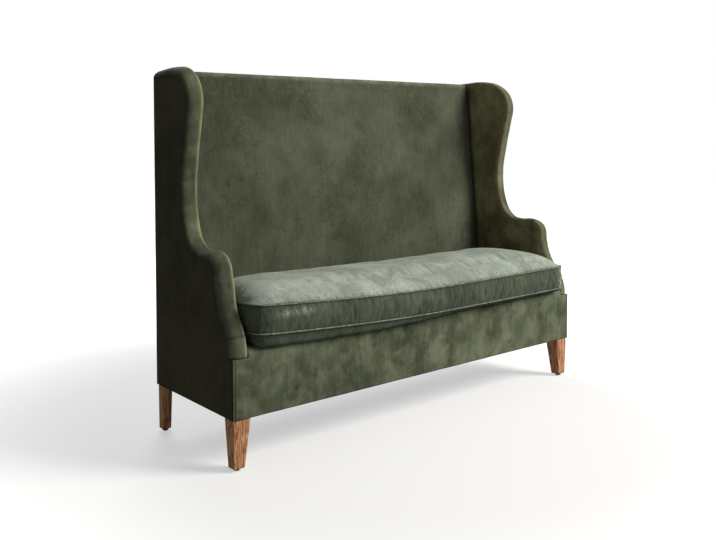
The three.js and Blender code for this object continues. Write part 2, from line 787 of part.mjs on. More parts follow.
// Zip slider at the closed end of the zip, with its pull lying along the tape
const sliderFront = tapeRear + gap;
const sliderStart = zipStopMargin - zipHalf;
const sliderOutline = [
  [0, -zipSliderHeight / 2],
  [zipSliderLength, -zipSliderHeight / 3],
  [zipSliderLength, -zipPullWidth / 2],
  [zipSliderLength + zipPullLength, -zipPullWidth / 2],
  [zipSliderLength + zipPullLength, zipPullWidth / 2],
  [zipSliderLength, zipPullWidth / 2],
  [zipSliderLength, zipSliderHeight / 3],
  [0, zipSliderHeight / 2],
];
const sliderBlank = new THREE.ExtrudeGeometry(outline(sliderOutline), {
  depth: zipSliderThickness,
  bevelEnabled: false,
});
sliderBlank.rotateX(Math.PI / 2).translate(sliderStart, sliderFront + zipSliderThickness, zipMiddleZ);
const pullStart = sliderStart + zipSliderLength;
const pullRelief = block(
  [pullStart, sliderFront + zipPullThickness, zipMiddleZ - zipWidth],
  [pullStart + 2 * zipPullLength, sliderFront + 2 * zipSliderThickness, zipMiddleZ + zipWidth],
);
addMesh(cushion, "zip_slider", cut(sliderBlank, pullRelief), brass);

// Piping round the top and the bottom of the border
for (const [name, level] of [["top", cushionSeamHigh], ["bottom", cushionSeamLow]]) {
  const plan = cushionPlan(-cushionPipingRadius - gap);
  const loop = plan.map((p) => new THREE.Vector3(p.x, p.y, level + cushionLift(p.x, p.y)));
  const cord = cordLoop(loop, cushionPipingRadius, cushionPipingSides);
  addMesh(cushion, `cushion_piping_${name}`, cord, cushionCloth);
}

// The origin is on the floor, under the middle of the whole settee.
const extent = new THREE.Box3().setFromObject(settee);
settee.position.y = -(extent.min.y + extent.max.y) / 2;

export default settee;
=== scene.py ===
"""The looks of a high back settee: tall winged sides with padded roll edges, a raked back, a loose boxed seat
cushion and tapered legs. Metres, +Z up, the front faces -Y."""
import math

import bmesh
import bpy
import numpy as np
from mathutils import Matrix, Vector, noise


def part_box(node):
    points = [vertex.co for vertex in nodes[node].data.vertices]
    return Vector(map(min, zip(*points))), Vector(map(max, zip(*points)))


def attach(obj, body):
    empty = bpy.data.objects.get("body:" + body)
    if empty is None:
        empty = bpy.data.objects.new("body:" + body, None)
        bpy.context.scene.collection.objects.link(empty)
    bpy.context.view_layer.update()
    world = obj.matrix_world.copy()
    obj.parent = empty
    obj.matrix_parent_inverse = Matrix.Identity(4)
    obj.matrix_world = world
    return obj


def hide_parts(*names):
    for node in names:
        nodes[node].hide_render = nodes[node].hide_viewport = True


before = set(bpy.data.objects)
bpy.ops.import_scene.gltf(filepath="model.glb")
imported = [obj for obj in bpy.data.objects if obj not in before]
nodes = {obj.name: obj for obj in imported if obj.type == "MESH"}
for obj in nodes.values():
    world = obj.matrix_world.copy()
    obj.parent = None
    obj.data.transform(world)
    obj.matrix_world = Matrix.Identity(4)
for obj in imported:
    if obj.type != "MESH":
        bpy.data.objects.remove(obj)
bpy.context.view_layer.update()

# The timber frame: rails, posts, brace and wing boards sawn from pale softwood and beech, glued and screwed.
# It is all covered, so it stays as sawn: straight grain, saw marks and no varnish.
both_sides = ("left", "right")


class Thread:
    """One value that runs through the nodes of a material, so that a pattern can be written as a sum."""

    def __init__(self, tree, socket):
        self.tree = tree
        self.socket = socket

    def node(self, kind, inputs, output=0, **settings):
        made = self.tree.nodes.new(kind if kind.startswith("Geometry") else "ShaderNode" + kind)
        for setting, value in settings.items():
            setattr(made, setting, value)
        for name, value in inputs.items():
            if isinstance(value, Thread):
                self.tree.links.new(value.socket, made.inputs[name])
            else:
                made.inputs[name].default_value = value
        return Thread(self.tree, made.outputs[output])

    def worked(self, operation, first, second=0.0):
        return self.node("Math", {0: first, 1: second}, operation=operation)

    def __add__(self, other):
        return self.worked("ADD", self, other)

    __radd__ = __add__

    def __sub__(self, other):
        return self.worked("SUBTRACT", self, other)

    def __rsub__(self, other):
        return self.worked("SUBTRACT", other, self)

    def __mul__(self, other):
        return self.worked("MULTIPLY", self, other)

    __rmul__ = __mul__

    def sine(self):
        return self.worked("SINE", self)

    def part(self, axis):
        return self.node("SeparateXYZ", {0: self}, output="XYZ".index(axis))

    def mark(self, name):
        """A value that the mesh itself carries."""
        return self.node("Attribute", {}, output=2, attribute_name=name)

    def stretched(self, x, y, z):
        return self.node("Mapping", {"Vector": self, "Scale": (x, y, z)})

    def clouds(self, scale, detail=2.0, roughness=0.5, distortion=0.0):
        sizes = {"Scale": scale, "Detail": detail, "Roughness": roughness, "Distortion": distortion}
        return self.node("TexNoise", {"Vector": self, **sizes})

    def between(self, low, high):
        """0 below low, 1 above high, and smooth between them."""
        limits = {"Value": self, "From Min": low, "From Max": high}
        return self.node("MapRange", limits, interpolation_type="SMOOTHSTEP", clamp=True)

    def tint(self, first, second):
        """The first colour where this value is 0, the second where it is 1."""
        ends = [c if isinstance(c, Thread) else (*c, 1) for c in (first, second)]
        return self.node("Mix", {0: self, 6: ends[0], 7: ends[1]}, output=2, data_type="RGBA")

    def relief(self, depth, strength=1.0, under=None):
        sockets = {"Height": self, "Distance": depth, "Strength": strength}
        if under:
            sockets["Normal"] = under
        return self.node("Bump", sockets)


def new_finish(name, **plain):
    """A material with its shader's plain values set, its shader and the place on the object."""
    material = bpy.data.materials.new(name)
    material.use_nodes = True
    tree = material.node_tree
    shader = tree.nodes["Principled BSDF"]
    for socket, value in plain.items():
        shader.inputs[socket.replace("_", " ").title().replace("Ior", "IOR")].default_value = value
    place = Thread(tree, tree.nodes.new("ShaderNodeTexCoord").outputs["Object"])
    return material, shader, place


def feed(shader, **patterns):
    for socket, pattern in patterns.items():
        pattern.tree.links.new(pattern.socket, shader.inputs[socket.replace("_", " ").title()])


def dress(names, material):
    for name in names:
        nodes[name].data.materials.clear()
        nodes[name].data.materials.append(material)


def sawn_timber():
    material, shader, place = new_finish("sawn_timber", roughness=0.8)
    rings = place.stretched(3, 3, 3).clouds(6, 3, 0.55, 0.4)
    grain = (rings * 38).sine() * 0.5 + 0.5
    streaks = place.stretched(1, 1, 0.12).clouds(240, 2)
    colour = (grain * 0.6 + streaks * 0.4).tint((0.50, 0.33, 0.17), (0.66, 0.47, 0.27))
    feed(shader, base_color=colour, normal=streaks.relief(0.0006, 0.5))
    return material


timber = ["front_seat_rail", "rear_seat_rail", "centre_seat_brace", "back_top_rail", "back_tacking_rail"]
for board in ("side_seat_rail", "front_post", "back_post", "wing_board"):
    timber += [f"{board}_{side}" for side in both_sides]
dress(timber, sawn_timber())

# The webbing: black elastic straps stretched over the rails under the seat and up the back.
# A coarse plain weave, stapled at both ends.


def plain_weave(place, pitch):
    """Threads that go over and under each other both ways, from 0 to 1."""
    return (place.part("X") * pitch).sine() * (place.part("Y") * pitch).sine() * 0.5 + 0.5


def strap_weave():
    material, shader, place = new_finish("strap_weave", roughness=0.9)
    weave = plain_weave(place, 1400)
    colour = (weave * 0.5 + place.clouds(60, 3) * 0.5).tint((0.012, 0.012, 0.011), (0.06, 0.055, 0.05))
    feed(shader, base_color=colour, normal=weave.relief(0.0008, 0.6))
    return material


dress([name for name in nodes if "_web_" in name], strap_weave())

# The padding: sheets of cut foam glued to the boards, the seat rail and the back, with open cells, a little
# yellowed. The one on the seat is covered with plain cotton cloth, since it shows when the cushion is off.


def cut_foam():
    material, shader, place = new_finish("cut_foam", roughness=0.95)
    cells = place.node("TexVoronoi", {"Vector": place, "Scale": 700.0})
    colour = (cells * 0.5 + place.clouds(20, 3) * 0.5).tint((0.50, 0.43, 0.24), (0.78, 0.72, 0.5))
    feed(shader, base_color=colour, normal=cells.relief(0.0008, 0.7))
    return material


def platform_cloth():
    material, shader, place = new_finish("platform_cloth", roughness=0.95, specular_ior_level=0.08)
    weave = plain_weave(place, 2600)
    shade = weave * 0.3 + place.clouds(9, 4, 0.6) * 0.5 + place.clouds(500, 3, 0.7) * 0.2
    colour = shade.tint((0.030, 0.034, 0.022), (0.085, 0.092, 0.064))
    feed(shader, base_color=colour, normal=weave.relief(0.0004, 0.5))
    return material


dress(["front_pad", "inside_back_pad", "wing_pad_left", "wing_pad_right", "cushion_core"], cut_foam())
dress(["seat_platform_pad"], platform_cloth())

# The legs: four blocks of oiled brown oak that follow the splay of the flanks and taper on their inner faces,
# with eased edges. Each is held by a steel hanger bolt and stands on a black pin glide.
front_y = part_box("front_cover")[0].y
half_front = 0.8165
splay = math.tan(math.radians(5))
leg_edge = 0.0022
leg_edge_steps = 3
leg_rows = 14
level_slack = 0.0001


def half_width(depth, inward):
    return half_front - inward - depth * splay


def on_flank(side, depth, inward, z):
    """Points of a flank from their depth, distance in from the outside cover, and height."""
    sign = 1 if side == "right" else -1
    depth, inward, z = np.broadcast_arrays(depth, inward, z)
    return np.stack([sign * half_width(depth, inward), front_y + depth, z], -1)


def oiled_oak():
    material, shader, place = new_finish("oiled_oak", roughness=0.6, specular_ior_level=0.15)
    figure = place.stretched(1, 1, 0.16).clouds(34, 4, 0.55, 1.2)
    bands = (figure * 46).sine() * 0.5 + 0.5
    pores = place.stretched(1, 1, 0.05).clouds(900, 2, 0.6).between(0.56, 0.7)
    smudge = place.clouds(22, 4, 0.6)
    warm = (bands * 0.7 + smudge * 0.5 - 0.1).tint((0.165, 0.054, 0.019), (0.58, 0.315, 0.160))
    colour = (pores * 0.55).tint(warm, (0.085, 0.034, 0.016))
    rough = bands * 0.12 + pores * 0.2 + 0.5
    feed(shader, base_color=colour, roughness=rough, normal=(bands * 0.3 - pores).relief(0.0004, 0.5))
    return material


def zinc_steel():
    material, shader, place = new_finish("zinc_steel", roughness=0.35, metallic=1.0)
    turned = place.stretched(1, 1, 30).clouds(60, 2)
    colour = turned.tint((0.42, 0.42, 0.40), (0.66, 0.66, 0.63))
    feed(shader, base_color=colour, normal=turned.relief(0.0003, 0.4))
    return material


def black_plastic():
    material, shader, place = new_finish("black_plastic", roughness=0.45)
    scuffs = place.clouds(300, 4, 0.6)
    colour = scuffs.tint((0.008, 0.008, 0.008), (0.035, 0.034, 0.033))
    feed(shader, base_color=colour, roughness=scuffs * 0.4 + 0.3)
    return material


def as_piece(name, mesh):
    piece = bpy.data.objects.new(name, mesh)
    bpy.context.scene.collection.objects.link(piece)
    return piece


def from_grid(name, grid, ring=False, marks=None):
    """A smooth skin over a grid of points, closed around its columns if it is a ring."""
    rows, columns = grid.shape[:2]
    index = np.arange(rows * columns).reshape(rows, columns)
    if ring:
        index = np.hstack([index, index[:, :1]])
    quads = np.stack([index[:-1, :-1], index[:-1, 1:], index[1:, 1:], index[1:, :-1]], -1)
    mesh = bpy.data.meshes.new(name)
    mesh.from_pydata(grid.reshape(-1, 3).tolist(), [], quads.reshape(-1, 4).tolist())
    for mark, values in (marks or {}).items():
        layer = mesh.attributes.new(mark, "FLOAT", "POINT")
        layer.data.foreach_set("value", values.astype(np.float32).ravel())
    mesh.shade_smooth()
    return as_piece(name, mesh)


def closed_up(piece, ends=(), weld=0):
    """Flat ends over loops of vertex numbers, points that meet joined, and every face turned outwards."""
    body = bmesh.new()
    body.from_mesh(piece.data)
    body.verts.ensure_lookup_table()
    for loop in ends:
        body.faces.new([body.verts[i] for i in loop])
    if weld:
        bmesh.ops.remove_doubles(body, verts=body.verts, dist=weld)
    bmesh.ops.recalc_face_normals(body, faces=body.faces)
    body.to_mesh(piece.data)
    body.free()


def finish_piece(piece, body, slot, material, *replaced):
    piece.data.materials.append(material)
    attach(piece, body)
    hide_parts(*replaced)


def tapered_leg(name, side):
    """A leg between the outlines of its foot and its top."""
    cloud = np.array([vertex.co for vertex in nodes[name].data.vertices])
    depth = cloud[:, 1] - front_y
    inward = half_width(depth, 0) - np.abs(cloud[:, 0])
    plan = np.stack([depth, inward, cloud[:, 2]], -1)
    outlines = []
    for z in (plan[:, 2].min(), plan[:, 2].max()):
        level = plan[np.abs(plan[:, 2] - z) < level_slack]
        (near, outer, _), (far, inner, _) = level.min(0), level.max(0)
        corners = np.array([(near, outer), (far, outer), (far, inner), (near, inner)])
        outlines.append(on_flank(side, corners[:, 0], corners[:, 1], z))
    share = np.linspace(0, 1, leg_rows)[:, None, None]
    leg = from_grid("oak_" + name, outlines[0] * (1 - share) + outlines[1] * share, ring=True)
    closed_up(leg, [range(4), range(4 * leg_rows - 4, 4 * leg_rows)])
    bevel = leg.modifiers.new("eased_edges", "BEVEL")
    bevel.width = leg_edge
    bevel.segments = leg_edge_steps
    bevel.limit_method = "ANGLE"
    return leg


oak = oiled_oak()
for end in ("front", "rear"):
    for side in both_sides:
        name = f"leg_{end}_{side}"
        finish_piece(tapered_leg(name, side), "settee_frame", "leg_wood", oak, name)
dress([name for name in nodes if name.startswith("leg_bolt_")], zinc_steel())
dress([name for name in nodes if name.startswith("glide_")], black_plastic())

# The padded rolls: each wing's edge is wadding wrapped in velvet, sewn along the outside seam and carried
# round to the inside of the wing, from the foot of the arm to the rear. The section rises gently from the
# outside seam and is fullest near its inner edge.
rear_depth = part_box("outside_back_panel")[1].y - front_y
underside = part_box("front_cover")[0].z
roll_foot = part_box("wing_roll_right")[0].z
arm_height = 0.606
roll_depth = 0.028
wing_seam_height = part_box("wing_roll_right")[1].z - roll_depth
arm_shares = [
    (0.055, 0, 1.2), (0.062, 0.1, 1.25), (0.092, 0.245, 1.3), (0.143, 0.374, 1.3), (0.194, 0.557, 1.3),
    (0.222, 0.777, 1.25), (0.231, 0.94, 1.1), (0.273, 0.995, 1), (0.371, 1, 0.9),
]
wing_shares = [
    (0.478, 0.02, 0.85), (0.561, 0.087, 0.8), (0.613, 0.21, 0.78), (0.63, 0.396, 0.78),
    (0.6, 0.564, 0.78), (0.556, 0.758, 0.8), (0.539, 0.855, 0.85), (0.574, 0.936, 0.9),
    (0.65, 0.984, 0.95), (0.78, 1, 1), (1, 0.989, 1),
]
edge_step = 0.006
curve_steps = 24
roll_width = 0.056
roll_overhang = 0.003
roll_inner = roll_width - roll_overhang
roll_foot_round = 0.016
roll_rear_round = 0.009
roll_section_shares = [
    (0, 0), (0.11, 0.46), (0.32, 0.76), (0.56, 0.93), (0.78, 1), (0.93, 0.82), (0.99, 0.45), (1, 0),
]
roll_section_step_share = 0.07
roll_turned_under = [(-0.004, 0.006), (-0.0035, 0.0012)]
roll_tucked_beside = [(-0.006, 0.0002), (-0.013, 0.0012), (-0.018, 0.004), (-0.020, 0.012)]
roll_ripples = [(0.07, 0.0014, 1), (0.022, 0.0006, 2)]
arm_bulge = 0.007
arm_bulge_height = 0.53
arm_bulge_reach = 0.055
foot_run = 0.03
foot_top = 0.45
foot_crease = 0.052
foot_crease_width = 0.0022
worn_and_lit_band = (0.72, 0.92)
lining_band = (0.66, 0.86)


def mixed(first, second, start, stop, t):
    """The first point at the start, the second at the stop, straight between and beyond them."""
    return (first * (stop - t) + second * (t - start)) / (stop - start)


def through(points, spacing):
    """A smooth line through points, with even steps along it."""
    points = np.array(points, float)
    ends = np.vstack([2 * points[0] - points[1], points, 2 * points[-1] - points[-2]])
    knots = np.concatenate([[0], np.cumsum(np.sqrt(np.linalg.norm(np.diff(ends, axis=0), axis=1)))])
    line = []
    for i in range(1, len(ends) - 2):
        a, b, c, d = ends[i - 1:i + 3]
        ta, tb, tc, td = knots[i - 1:i + 3]
        for t in np.linspace(tb, tc, curve_steps, endpoint=False):
            ab, bc, cd = mixed(a, b, ta, tb, t), mixed(b, c, tb, tc, t), mixed(c, d, tc, td, t)
            abc, bcd = mixed(ab, bc, ta, tc, t), mixed(bc, cd, tb, td, t)
            line.append(mixed(abc, bcd, tb, tc, t))
    return evened(np.array([*line, points[-1]]), spacing)


def evened(line, spacing=None, count=None):
    """The same line with even steps."""
    run = np.concatenate([[0], np.cumsum(np.linalg.norm(np.diff(line, axis=0), axis=1))])
    count = count or max(int(round(run[-1] / spacing)), 2)
    steps = np.linspace(0, run[-1], count + 1)
    return np.stack([np.interp(steps, run, line[:, k]) for k in range(line.shape[1])], -1)


arm_rise = arm_height - roll_foot
wing_rise = wing_seam_height - arm_height
edge_line = through(
    [(y * rear_depth, roll_foot + z * arm_rise, out * roll_depth) for y, z, out in arm_shares]
    + [(y * rear_depth, arm_height + z * wing_rise, out * roll_depth) for y, z, out in wing_shares],
    edge_step,
)
seam = edge_line[:, :2]


def fade(value, start, stop):
    """0 at the start, 1 at the stop, straight between them and level beyond."""
    return np.clip((value - start) / (stop - start), 0, 1)


def bell(value, middle, reach):
    """1 at the middle, falling off softly on both sides."""
    return np.exp(-((value - middle) / reach) ** 2)


def waves(points, size, seed):
    """Soft random waves over points, about -1 to 1, the same on each run."""
    shift = Vector((seed * 7.31, seed * 3.17, seed * 5.71))
    flat = points.reshape(-1, 3) / size
    values = [noise.noise(Vector(p) + shift) for p in flat]
    return np.array(values).reshape(points.shape[:-1])


def ripples(points, swells):
    """Waves on top of each other, each with its own length, height and seed."""
    return sum(waves(points, length, seed) * height for length, height, seed in swells)


def unit(vectors):
    return vectors / np.linalg.norm(vectors, axis=-1, keepdims=True)


def brushed_velvet(name, dark, light, haze=1.0, warm=0.0, crush=0.0, lining=None):
    """Cotton velvet whose nap lies in brushed patches, near black where painted shade is marked and paler
    where it has worn or a painted highlight is marked.
    """
    material, shader, place = new_finish(
        name, roughness=0.95, specular_ior_level=0.08,
        sheen_weight=0.06, sheen_roughness=0.4, sheen_tint=(0.8, 0.86, 0.7, 1),
    )
    patches = place.clouds(3.4, 3, 0.5, 0.3).between(0.32, 0.68)
    blooms = place.clouds(13, 5, 0.62, 0.25).between(0.36, 0.72)
    strokes = place.stretched(1, 1, 0.2).clouds(75, 4, 0.6, 0.2).between(0.3, 0.7)
    flecks = place.clouds(380, 4, 0.7)
    nap = patches * 0.34 + blooms * (0.42 * haze) + strokes * 0.12 + flecks * 0.34 - 0.14 * haze
    if crush:
        crushed = place.clouds(95, 4, 0.7, 1.2).between(0.36, 0.64) - 0.5
        nap = nap + crushed * place.clouds(5, 3).between(0.4, 0.6) * crush
    smudged = tuple(0.7 * c for c in dark)
    if lining:
        dark, light = [place.mark("inside").tint(*pair) for pair in zip((dark, light), lining)]
    colour = nap.tint(dark, light)
    dabs = place.stretched(1, 1, 0.7).clouds(27, 4, 0.6, 0.3).between(0.6, 0.78)
    colour = (dabs * (0.6 * haze)).tint(colour, smudged)
    if warm:
        rust = place.clouds(8, 4, 0.6, 0.3).between(0.35, 0.65)
        colour = (rust * warm).tint(colour, (0.132, 0.098, 0.046))
        specks = place.clouds(48, 4, 0.7).between(0.58, 0.66)
        colour = (specks * warm).tint(colour, (0.018, 0.015, 0.007))
    # Paler where wear and painted highlight are marked on the mesh, near black where painted shade is marked.
    colour = (place.mark("wear") * (strokes * 0.5 + 0.4)).tint(colour, (0.24, 0.27, 0.185))
    colour = (place.mark("tuck") * 0.85).tint(colour, (0.005, 0.006, 0.003))
    pile = place.clouds(1500, 2, 0.7)
    dents = (patches * 0.5 + blooms * 0.5).relief(0.0016, 0.4 * haze)
    feed(shader, base_color=colour, normal=(pile * 0.4 + flecks * 0.6).relief(0.0008, 0.4, dents))
    return material


def roll_skin(side):
    path = evened(edge_line, edge_step)
    rows = len(path)
    line, z, depth_here = path[:, :2], path[:, 1:2], path[:, 2:]
    run = np.arange(rows)[:, None] * edge_step
    along = unit(np.gradient(line, axis=0))
    along = unit(along + (np.array([0, 1]) - along) * fade(run, foot_run, 0))
    out = np.stack([-along[:, 1], along[:, 0]], -1)
    section = np.array(
        [(inward, 0, sunk) for sunk, inward in roll_turned_under]
        + [(across * roll_width - roll_overhang, up, 0)
           for across, up in through(roll_section_shares, roll_section_step_share)]
        + [(roll_inner - drawn, 0, sunk) for sunk, drawn in roll_tucked_beside]
    )
    inward, up, sunk = section.T[:, None]
    ends = (fade(run, 0, roll_foot_round), fade(run[::-1], 0, roll_rear_round))
    foot_full, full = [np.sqrt(np.clip(1 - (1 - share) ** 2, 0.02, 1)) for share in ends]
    proud = up * depth_here * (0.8 + 0.2 * full) * (0.95 + 0.05 * foot_full) + sunk
    middle = roll_width / 2 - roll_overhang
    across = np.clip(inward / roll_inner, 0, 1)
    swell = arm_bulge * bell(z, arm_bulge_height, arm_bulge_reach) * across
    level = middle + (inward - middle) * (0.95 + 0.05 * full) + swell

    def skin(height):
        return on_flank(side, line[:, :1] + out[:, :1] * height, level, z + out[:, 1:] * height)

    proud = proud + ripples(skin(proud), roll_ripples) * np.clip(up, 0, 1)
    on_foot = (up > 0.3) * (z < foot_top)
    crease_height = roll_foot + foot_crease
    crease = bell(z, crease_height, foot_crease_width) * on_foot
    worn_foot = fade(z, crease_height, crease_height - 0.02) * on_foot * 0.08
    on_arm = fade(z, arm_height + 0.02, arm_height - 0.02)
    worn_and_lit_edge = fade(across, *worn_and_lit_band) * np.clip(up * 3, 0, 1) * (0.45 + 0.5 * on_arm)
    # Painted shade in the low groove along the outside seam and in the crease above the foot. The top of the
    # inner edge is painted paler, partly wear and partly a painted highlight, stronger on the arm and weaker
    # on the right roll.
    marks = {
        "tuck": np.maximum(fade(proud, 0.014, -0.002) * (inward < middle), crease * 0.5),
        "wear": np.maximum(worn_and_lit_edge * (0.55 if side == "right" else 1), worn_foot),
        "inside": fade(across, *lining_band) * fade(run[::-1], 0.04, 0.07),
    }
    roll = from_grid(f"velvet_roll_{side}", skin(proud), ring=True, marks=marks)
    columns = len(section)
    closed_up(roll, [range(columns), range(columns * (rows - 1), columns * rows)])
    smooth = roll.modifiers.new("soft", "SUBSURF")
    smooth.levels = smooth.render_levels = 1
    return roll


moss = ((0.021, 0.027, 0.014), (0.172, 0.194, 0.126))
olive = ((0.066, 0.056, 0.027), (0.29, 0.255, 0.135))
roll_velvet = brushed_velvet("roll_velvet", *moss, lining=olive)
for side in both_sides:
    finish_piece(roll_skin(side), "settee_frame", "velvet", roll_velvet, f"wing_roll_{side}")

# The outside covers: one flat length of velvet on each flank, drawn tight over the board and blind sewn to
# the roll. It turns in a little at every seam, with painted shade along every seam and in the groove beside
# the roll.
cover_wall = 0.0016
cover_fullness = 0.0016
seam_tuck = 0.0020
seam_roll_in = 0.0042
seam_shadow = 0.011
flank_fill = 0.06
flank_ripples = [(0.16, 0.0011, 3), (0.05, 0.00035, 4)]
rear_fold = 0.0012
piping_gap = 0.0003
roll_lap = 0.001
turn_share = 0.936
flank_rows = 190
flank_columns = 70
packing_share = 0.11


def patch(left, right, bottom, top):
    """A grid of points between four lines: left and right run up, bottom and top run across."""
    t = np.linspace(0, 1, len(left))[:, None, None]
    s = np.linspace(0, 1, len(bottom))[None, :, None]
    sides = left[:, None] * (1 - s) + right[:, None] * s
    ends = bottom[None] * (1 - t) + top[None] * t
    corners = (left[0] * (1 - s) + right[0] * s) * (1 - t) + (left[-1] * (1 - s) + right[-1] * s) * t
    return sides + ends - corners


def flank_grid(front, top, rear, rows, columns):
    """A grid over part of a flank, between its front, top and rear lines and a straight foot."""
    left, right = evened(front, count=rows), evened(np.array(rear), count=rows)
    top = evened(top, count=columns)
    top[-1] = right[-1]
    bottom = evened(np.array([left[0], right[0]]), count=columns)
    return patch(left, right, bottom, top)


def edge_distance(grid):
    """How far each point of a grid is from the nearest point of the grid's four edges."""
    border = np.vstack([grid[0], grid[-1], grid[:, 0], grid[:, -1]])
    flat = grid.reshape(-1, grid.shape[-1])
    nearest = [
        np.sqrt(((chunk[:, None] - border[None]) ** 2).sum(-1)).min(1) for chunk in np.array_split(flat, 24)
    ]
    return np.concatenate(nearest).reshape(grid.shape[:-1])


def packed_share(count):
    """Shares from 0 to 1, closer together near both ends."""
    even = np.linspace(0, 1, count)
    return even - packing_share * np.sin(2 * math.pi * even)


def packed(grid):
    """The same grid with its rows and columns closer together near its edges."""
    for axis in (1, 0):
        steps = np.arange(grid.shape[axis])
        spots = packed_share(len(steps)) * steps[-1]
        grid = np.apply_along_axis(lambda line: np.interp(spots, steps, line), axis, grid)
    return grid


def filled(distance, reach):
    """0 at a seam, rising softly to 1 away from it."""
    return 1 - np.exp(-distance / reach)


def cloth_skin(name, points, outward, tuck, wear=0):
    """A velvet skin over a grid, its faces turned to look outward, with a wall on its inner side."""
    piece = from_grid(name, points, marks={"tuck": tuck, "wear": wear + 0 * tuck})
    mesh = piece.data
    normals = np.array([f.normal for f in mesh.polygons])
    areas = np.array([f.area for f in mesh.polygons])
    if (normals * areas[:, None]).sum(0) @ np.array(outward) < 0:
        mesh.flip_normals()
    wall = piece.modifiers.new("cloth", "SOLIDIFY")
    wall.thickness = cover_wall
    wall.offset = -1
    return piece


def split_seam():
    """The seam line up to the hump of the wing, and from there to the rear."""
    turn_height = arm_height + turn_share * (wing_seam_height - arm_height)
    turn = int(np.argmax((seam[:, 1] > turn_height) & (seam[:, 0] > 0.5 * rear_depth)))
    return seam[:turn + 1], seam[turn:]


def outside_cover(side):
    rising, over = split_seam()
    piping_low, piping_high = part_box("corner_piping_right")
    corner = piping_high.x - piping_low.x + piping_gap
    foot = np.array([[corner, underside], [corner, roll_foot], [seam[0, 0] - roll_lap, roll_foot]])
    rear = [[rear_depth - rear_fold, underside], [rear_depth - rear_fold, over[-1, 1]]]
    flat = packed(flank_grid(np.vstack([foot, rising]), over, rear, flank_rows, flank_columns))
    distance = edge_distance(flat)
    edge = fade(distance, seam_roll_in, 0)
    fill = filled(distance, flank_fill)
    base = on_flank(side, flat[..., 0], 0 * distance, flat[..., 1])
    inward = seam_tuck * edge ** 2 + (ripples(base, flank_ripples) - cover_fullness) * fill
    points = on_flank(side, flat[..., 0], inward, flat[..., 1])
    outward = (1 if side == "right" else -1, 0, 0)
    # Painted shade along the seams.
    return cloth_skin(f"outside_cover_{side}", points, outward, fade(distance, seam_shadow, 0) ** 1.5)


# A darker copy of the front's velvet: painted shade on the flanks.
shaded_side_velvet = brushed_velvet("shaded_side_velvet", (0.0115, 0.0108, 0.0056), (0.060, 0.055, 0.030), haze=0.5)
for side in both_sides:
    finish_piece(outside_cover(side), "settee_frame", "velvet", shaded_side_velvet, f"outside_panel_{side}")

# The inside covers of the wings: warmer velvet over thin foam, level with the roll in front and tucked in
# beside the back. They are worn a little along the roll, with painted shade in the crease at the back.
back_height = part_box("inside_back_cover")[1].z
back_top_depth = 0.047
rake = math.tan(math.radians(4.9))
inside_level = 0.0499
inside_flush = 0.0525
inside_bottom = 0.3405
inside_lap = 0.006
inside_fullness = 0.0012
inside_ripples = [(0.11, 0.0011, 5)]
inside_pull = 0.0016
inside_fill = 0.05
inside_worn = 0.02
inside_crease = 0.02
inside_rows = 150
inside_columns = 50


def back_face(z):
    """How deep the face of the inside back lies at a height."""
    return rear_depth - back_top_depth - (back_height - z) * rake


def inside_cover(side):
    rising, over = split_seam()
    rising = rising[rising[:, 1] > inside_bottom]
    foot = np.interp(inside_bottom, seam[:40, 1], seam[:40, 0])
    meets = back_face(wing_seam_height) + inside_lap
    over = over[over[:, 0] < meets]
    over = np.vstack([over, [meets, over[-1, 1]]])
    front = np.vstack([[foot, inside_bottom], rising])
    rear = [[back_face(inside_bottom) + inside_lap, inside_bottom], over[-1]]
    flat = flank_grid(front, over, rear, inside_rows, inside_columns)
    to_back = back_face(flat[..., 1]) + inside_lap - flat[..., 0]
    distance = edge_distance(flat)
    near_roll = fade(distance, inside_fill, 0) * fade(to_back, 0, 0.03)
    base = on_flank(side, flat[..., 0], 0 * distance, flat[..., 1])
    level = inside_level + (inside_flush - inside_level) * near_roll ** 2
    level = level + (ripples(base, inside_ripples) + inside_fullness) * fade(distance, 0, inside_fill)
    level = level - inside_pull * fade(to_back, 0.016, 0)
    points = on_flank(side, flat[..., 0], level, flat[..., 1])
    # Painted shade in the crease beside the back.
    tuck = fade(to_back, inside_crease, 0)
    wear = fade(distance, inside_worn, 0) * 0.1 * (1 - tuck)
    outward = (-1 if side == "right" else 1, 0, 0)
    return cloth_skin(f"inside_wing_velvet_{side}", points, outward, tuck, wear)


inner_velvet = brushed_velvet("inner_velvet", (0.060, 0.056, 0.028), (0.340, 0.315, 0.175), warm=0.4)
for side in both_sides:
    finish_piece(inside_cover(side), "settee_frame", "velvet", inner_velvet, f"inside_wing_cover_{side}")

# The inside back: velvet over foam, a little crushed by use. It is tucked in beside the wings, carried over
# the crest and turned under the top edge of the outside back. Painted shade lies beside the wings, and the
# crest is painted paler, partly wear and partly a painted highlight.
crest_front_radius = 0.024
crest_rear_radius = 0.010
crest_tail = [(0, 0.023), (0.001, 0.026), (0.004, 0.032)]
back_side_level = 0.0515
back_side_tuck = 0.0022
back_side_reach = 0.011
back_side_shadow = 0.02
back_fullness = 0.0035
back_fill = 0.09
back_ripples = [(0.24, 0.0022, 6), (0.075, 0.0007, 7)]
crest_ripples = [(0.16, 0.0009, 8)]
crest_blend = 0.06
crest_worn_and_lit = 0.014
back_columns = 220
back_rows = 120


def bend(centre_a, centre_b, radius, start, stop, steps):
    """Points of an arc, from one angle in degrees to another."""
    angles = np.radians(np.linspace(start, stop, steps))
    return np.stack([centre_a + radius * np.cos(angles), centre_b + radius * np.sin(angles)], -1)


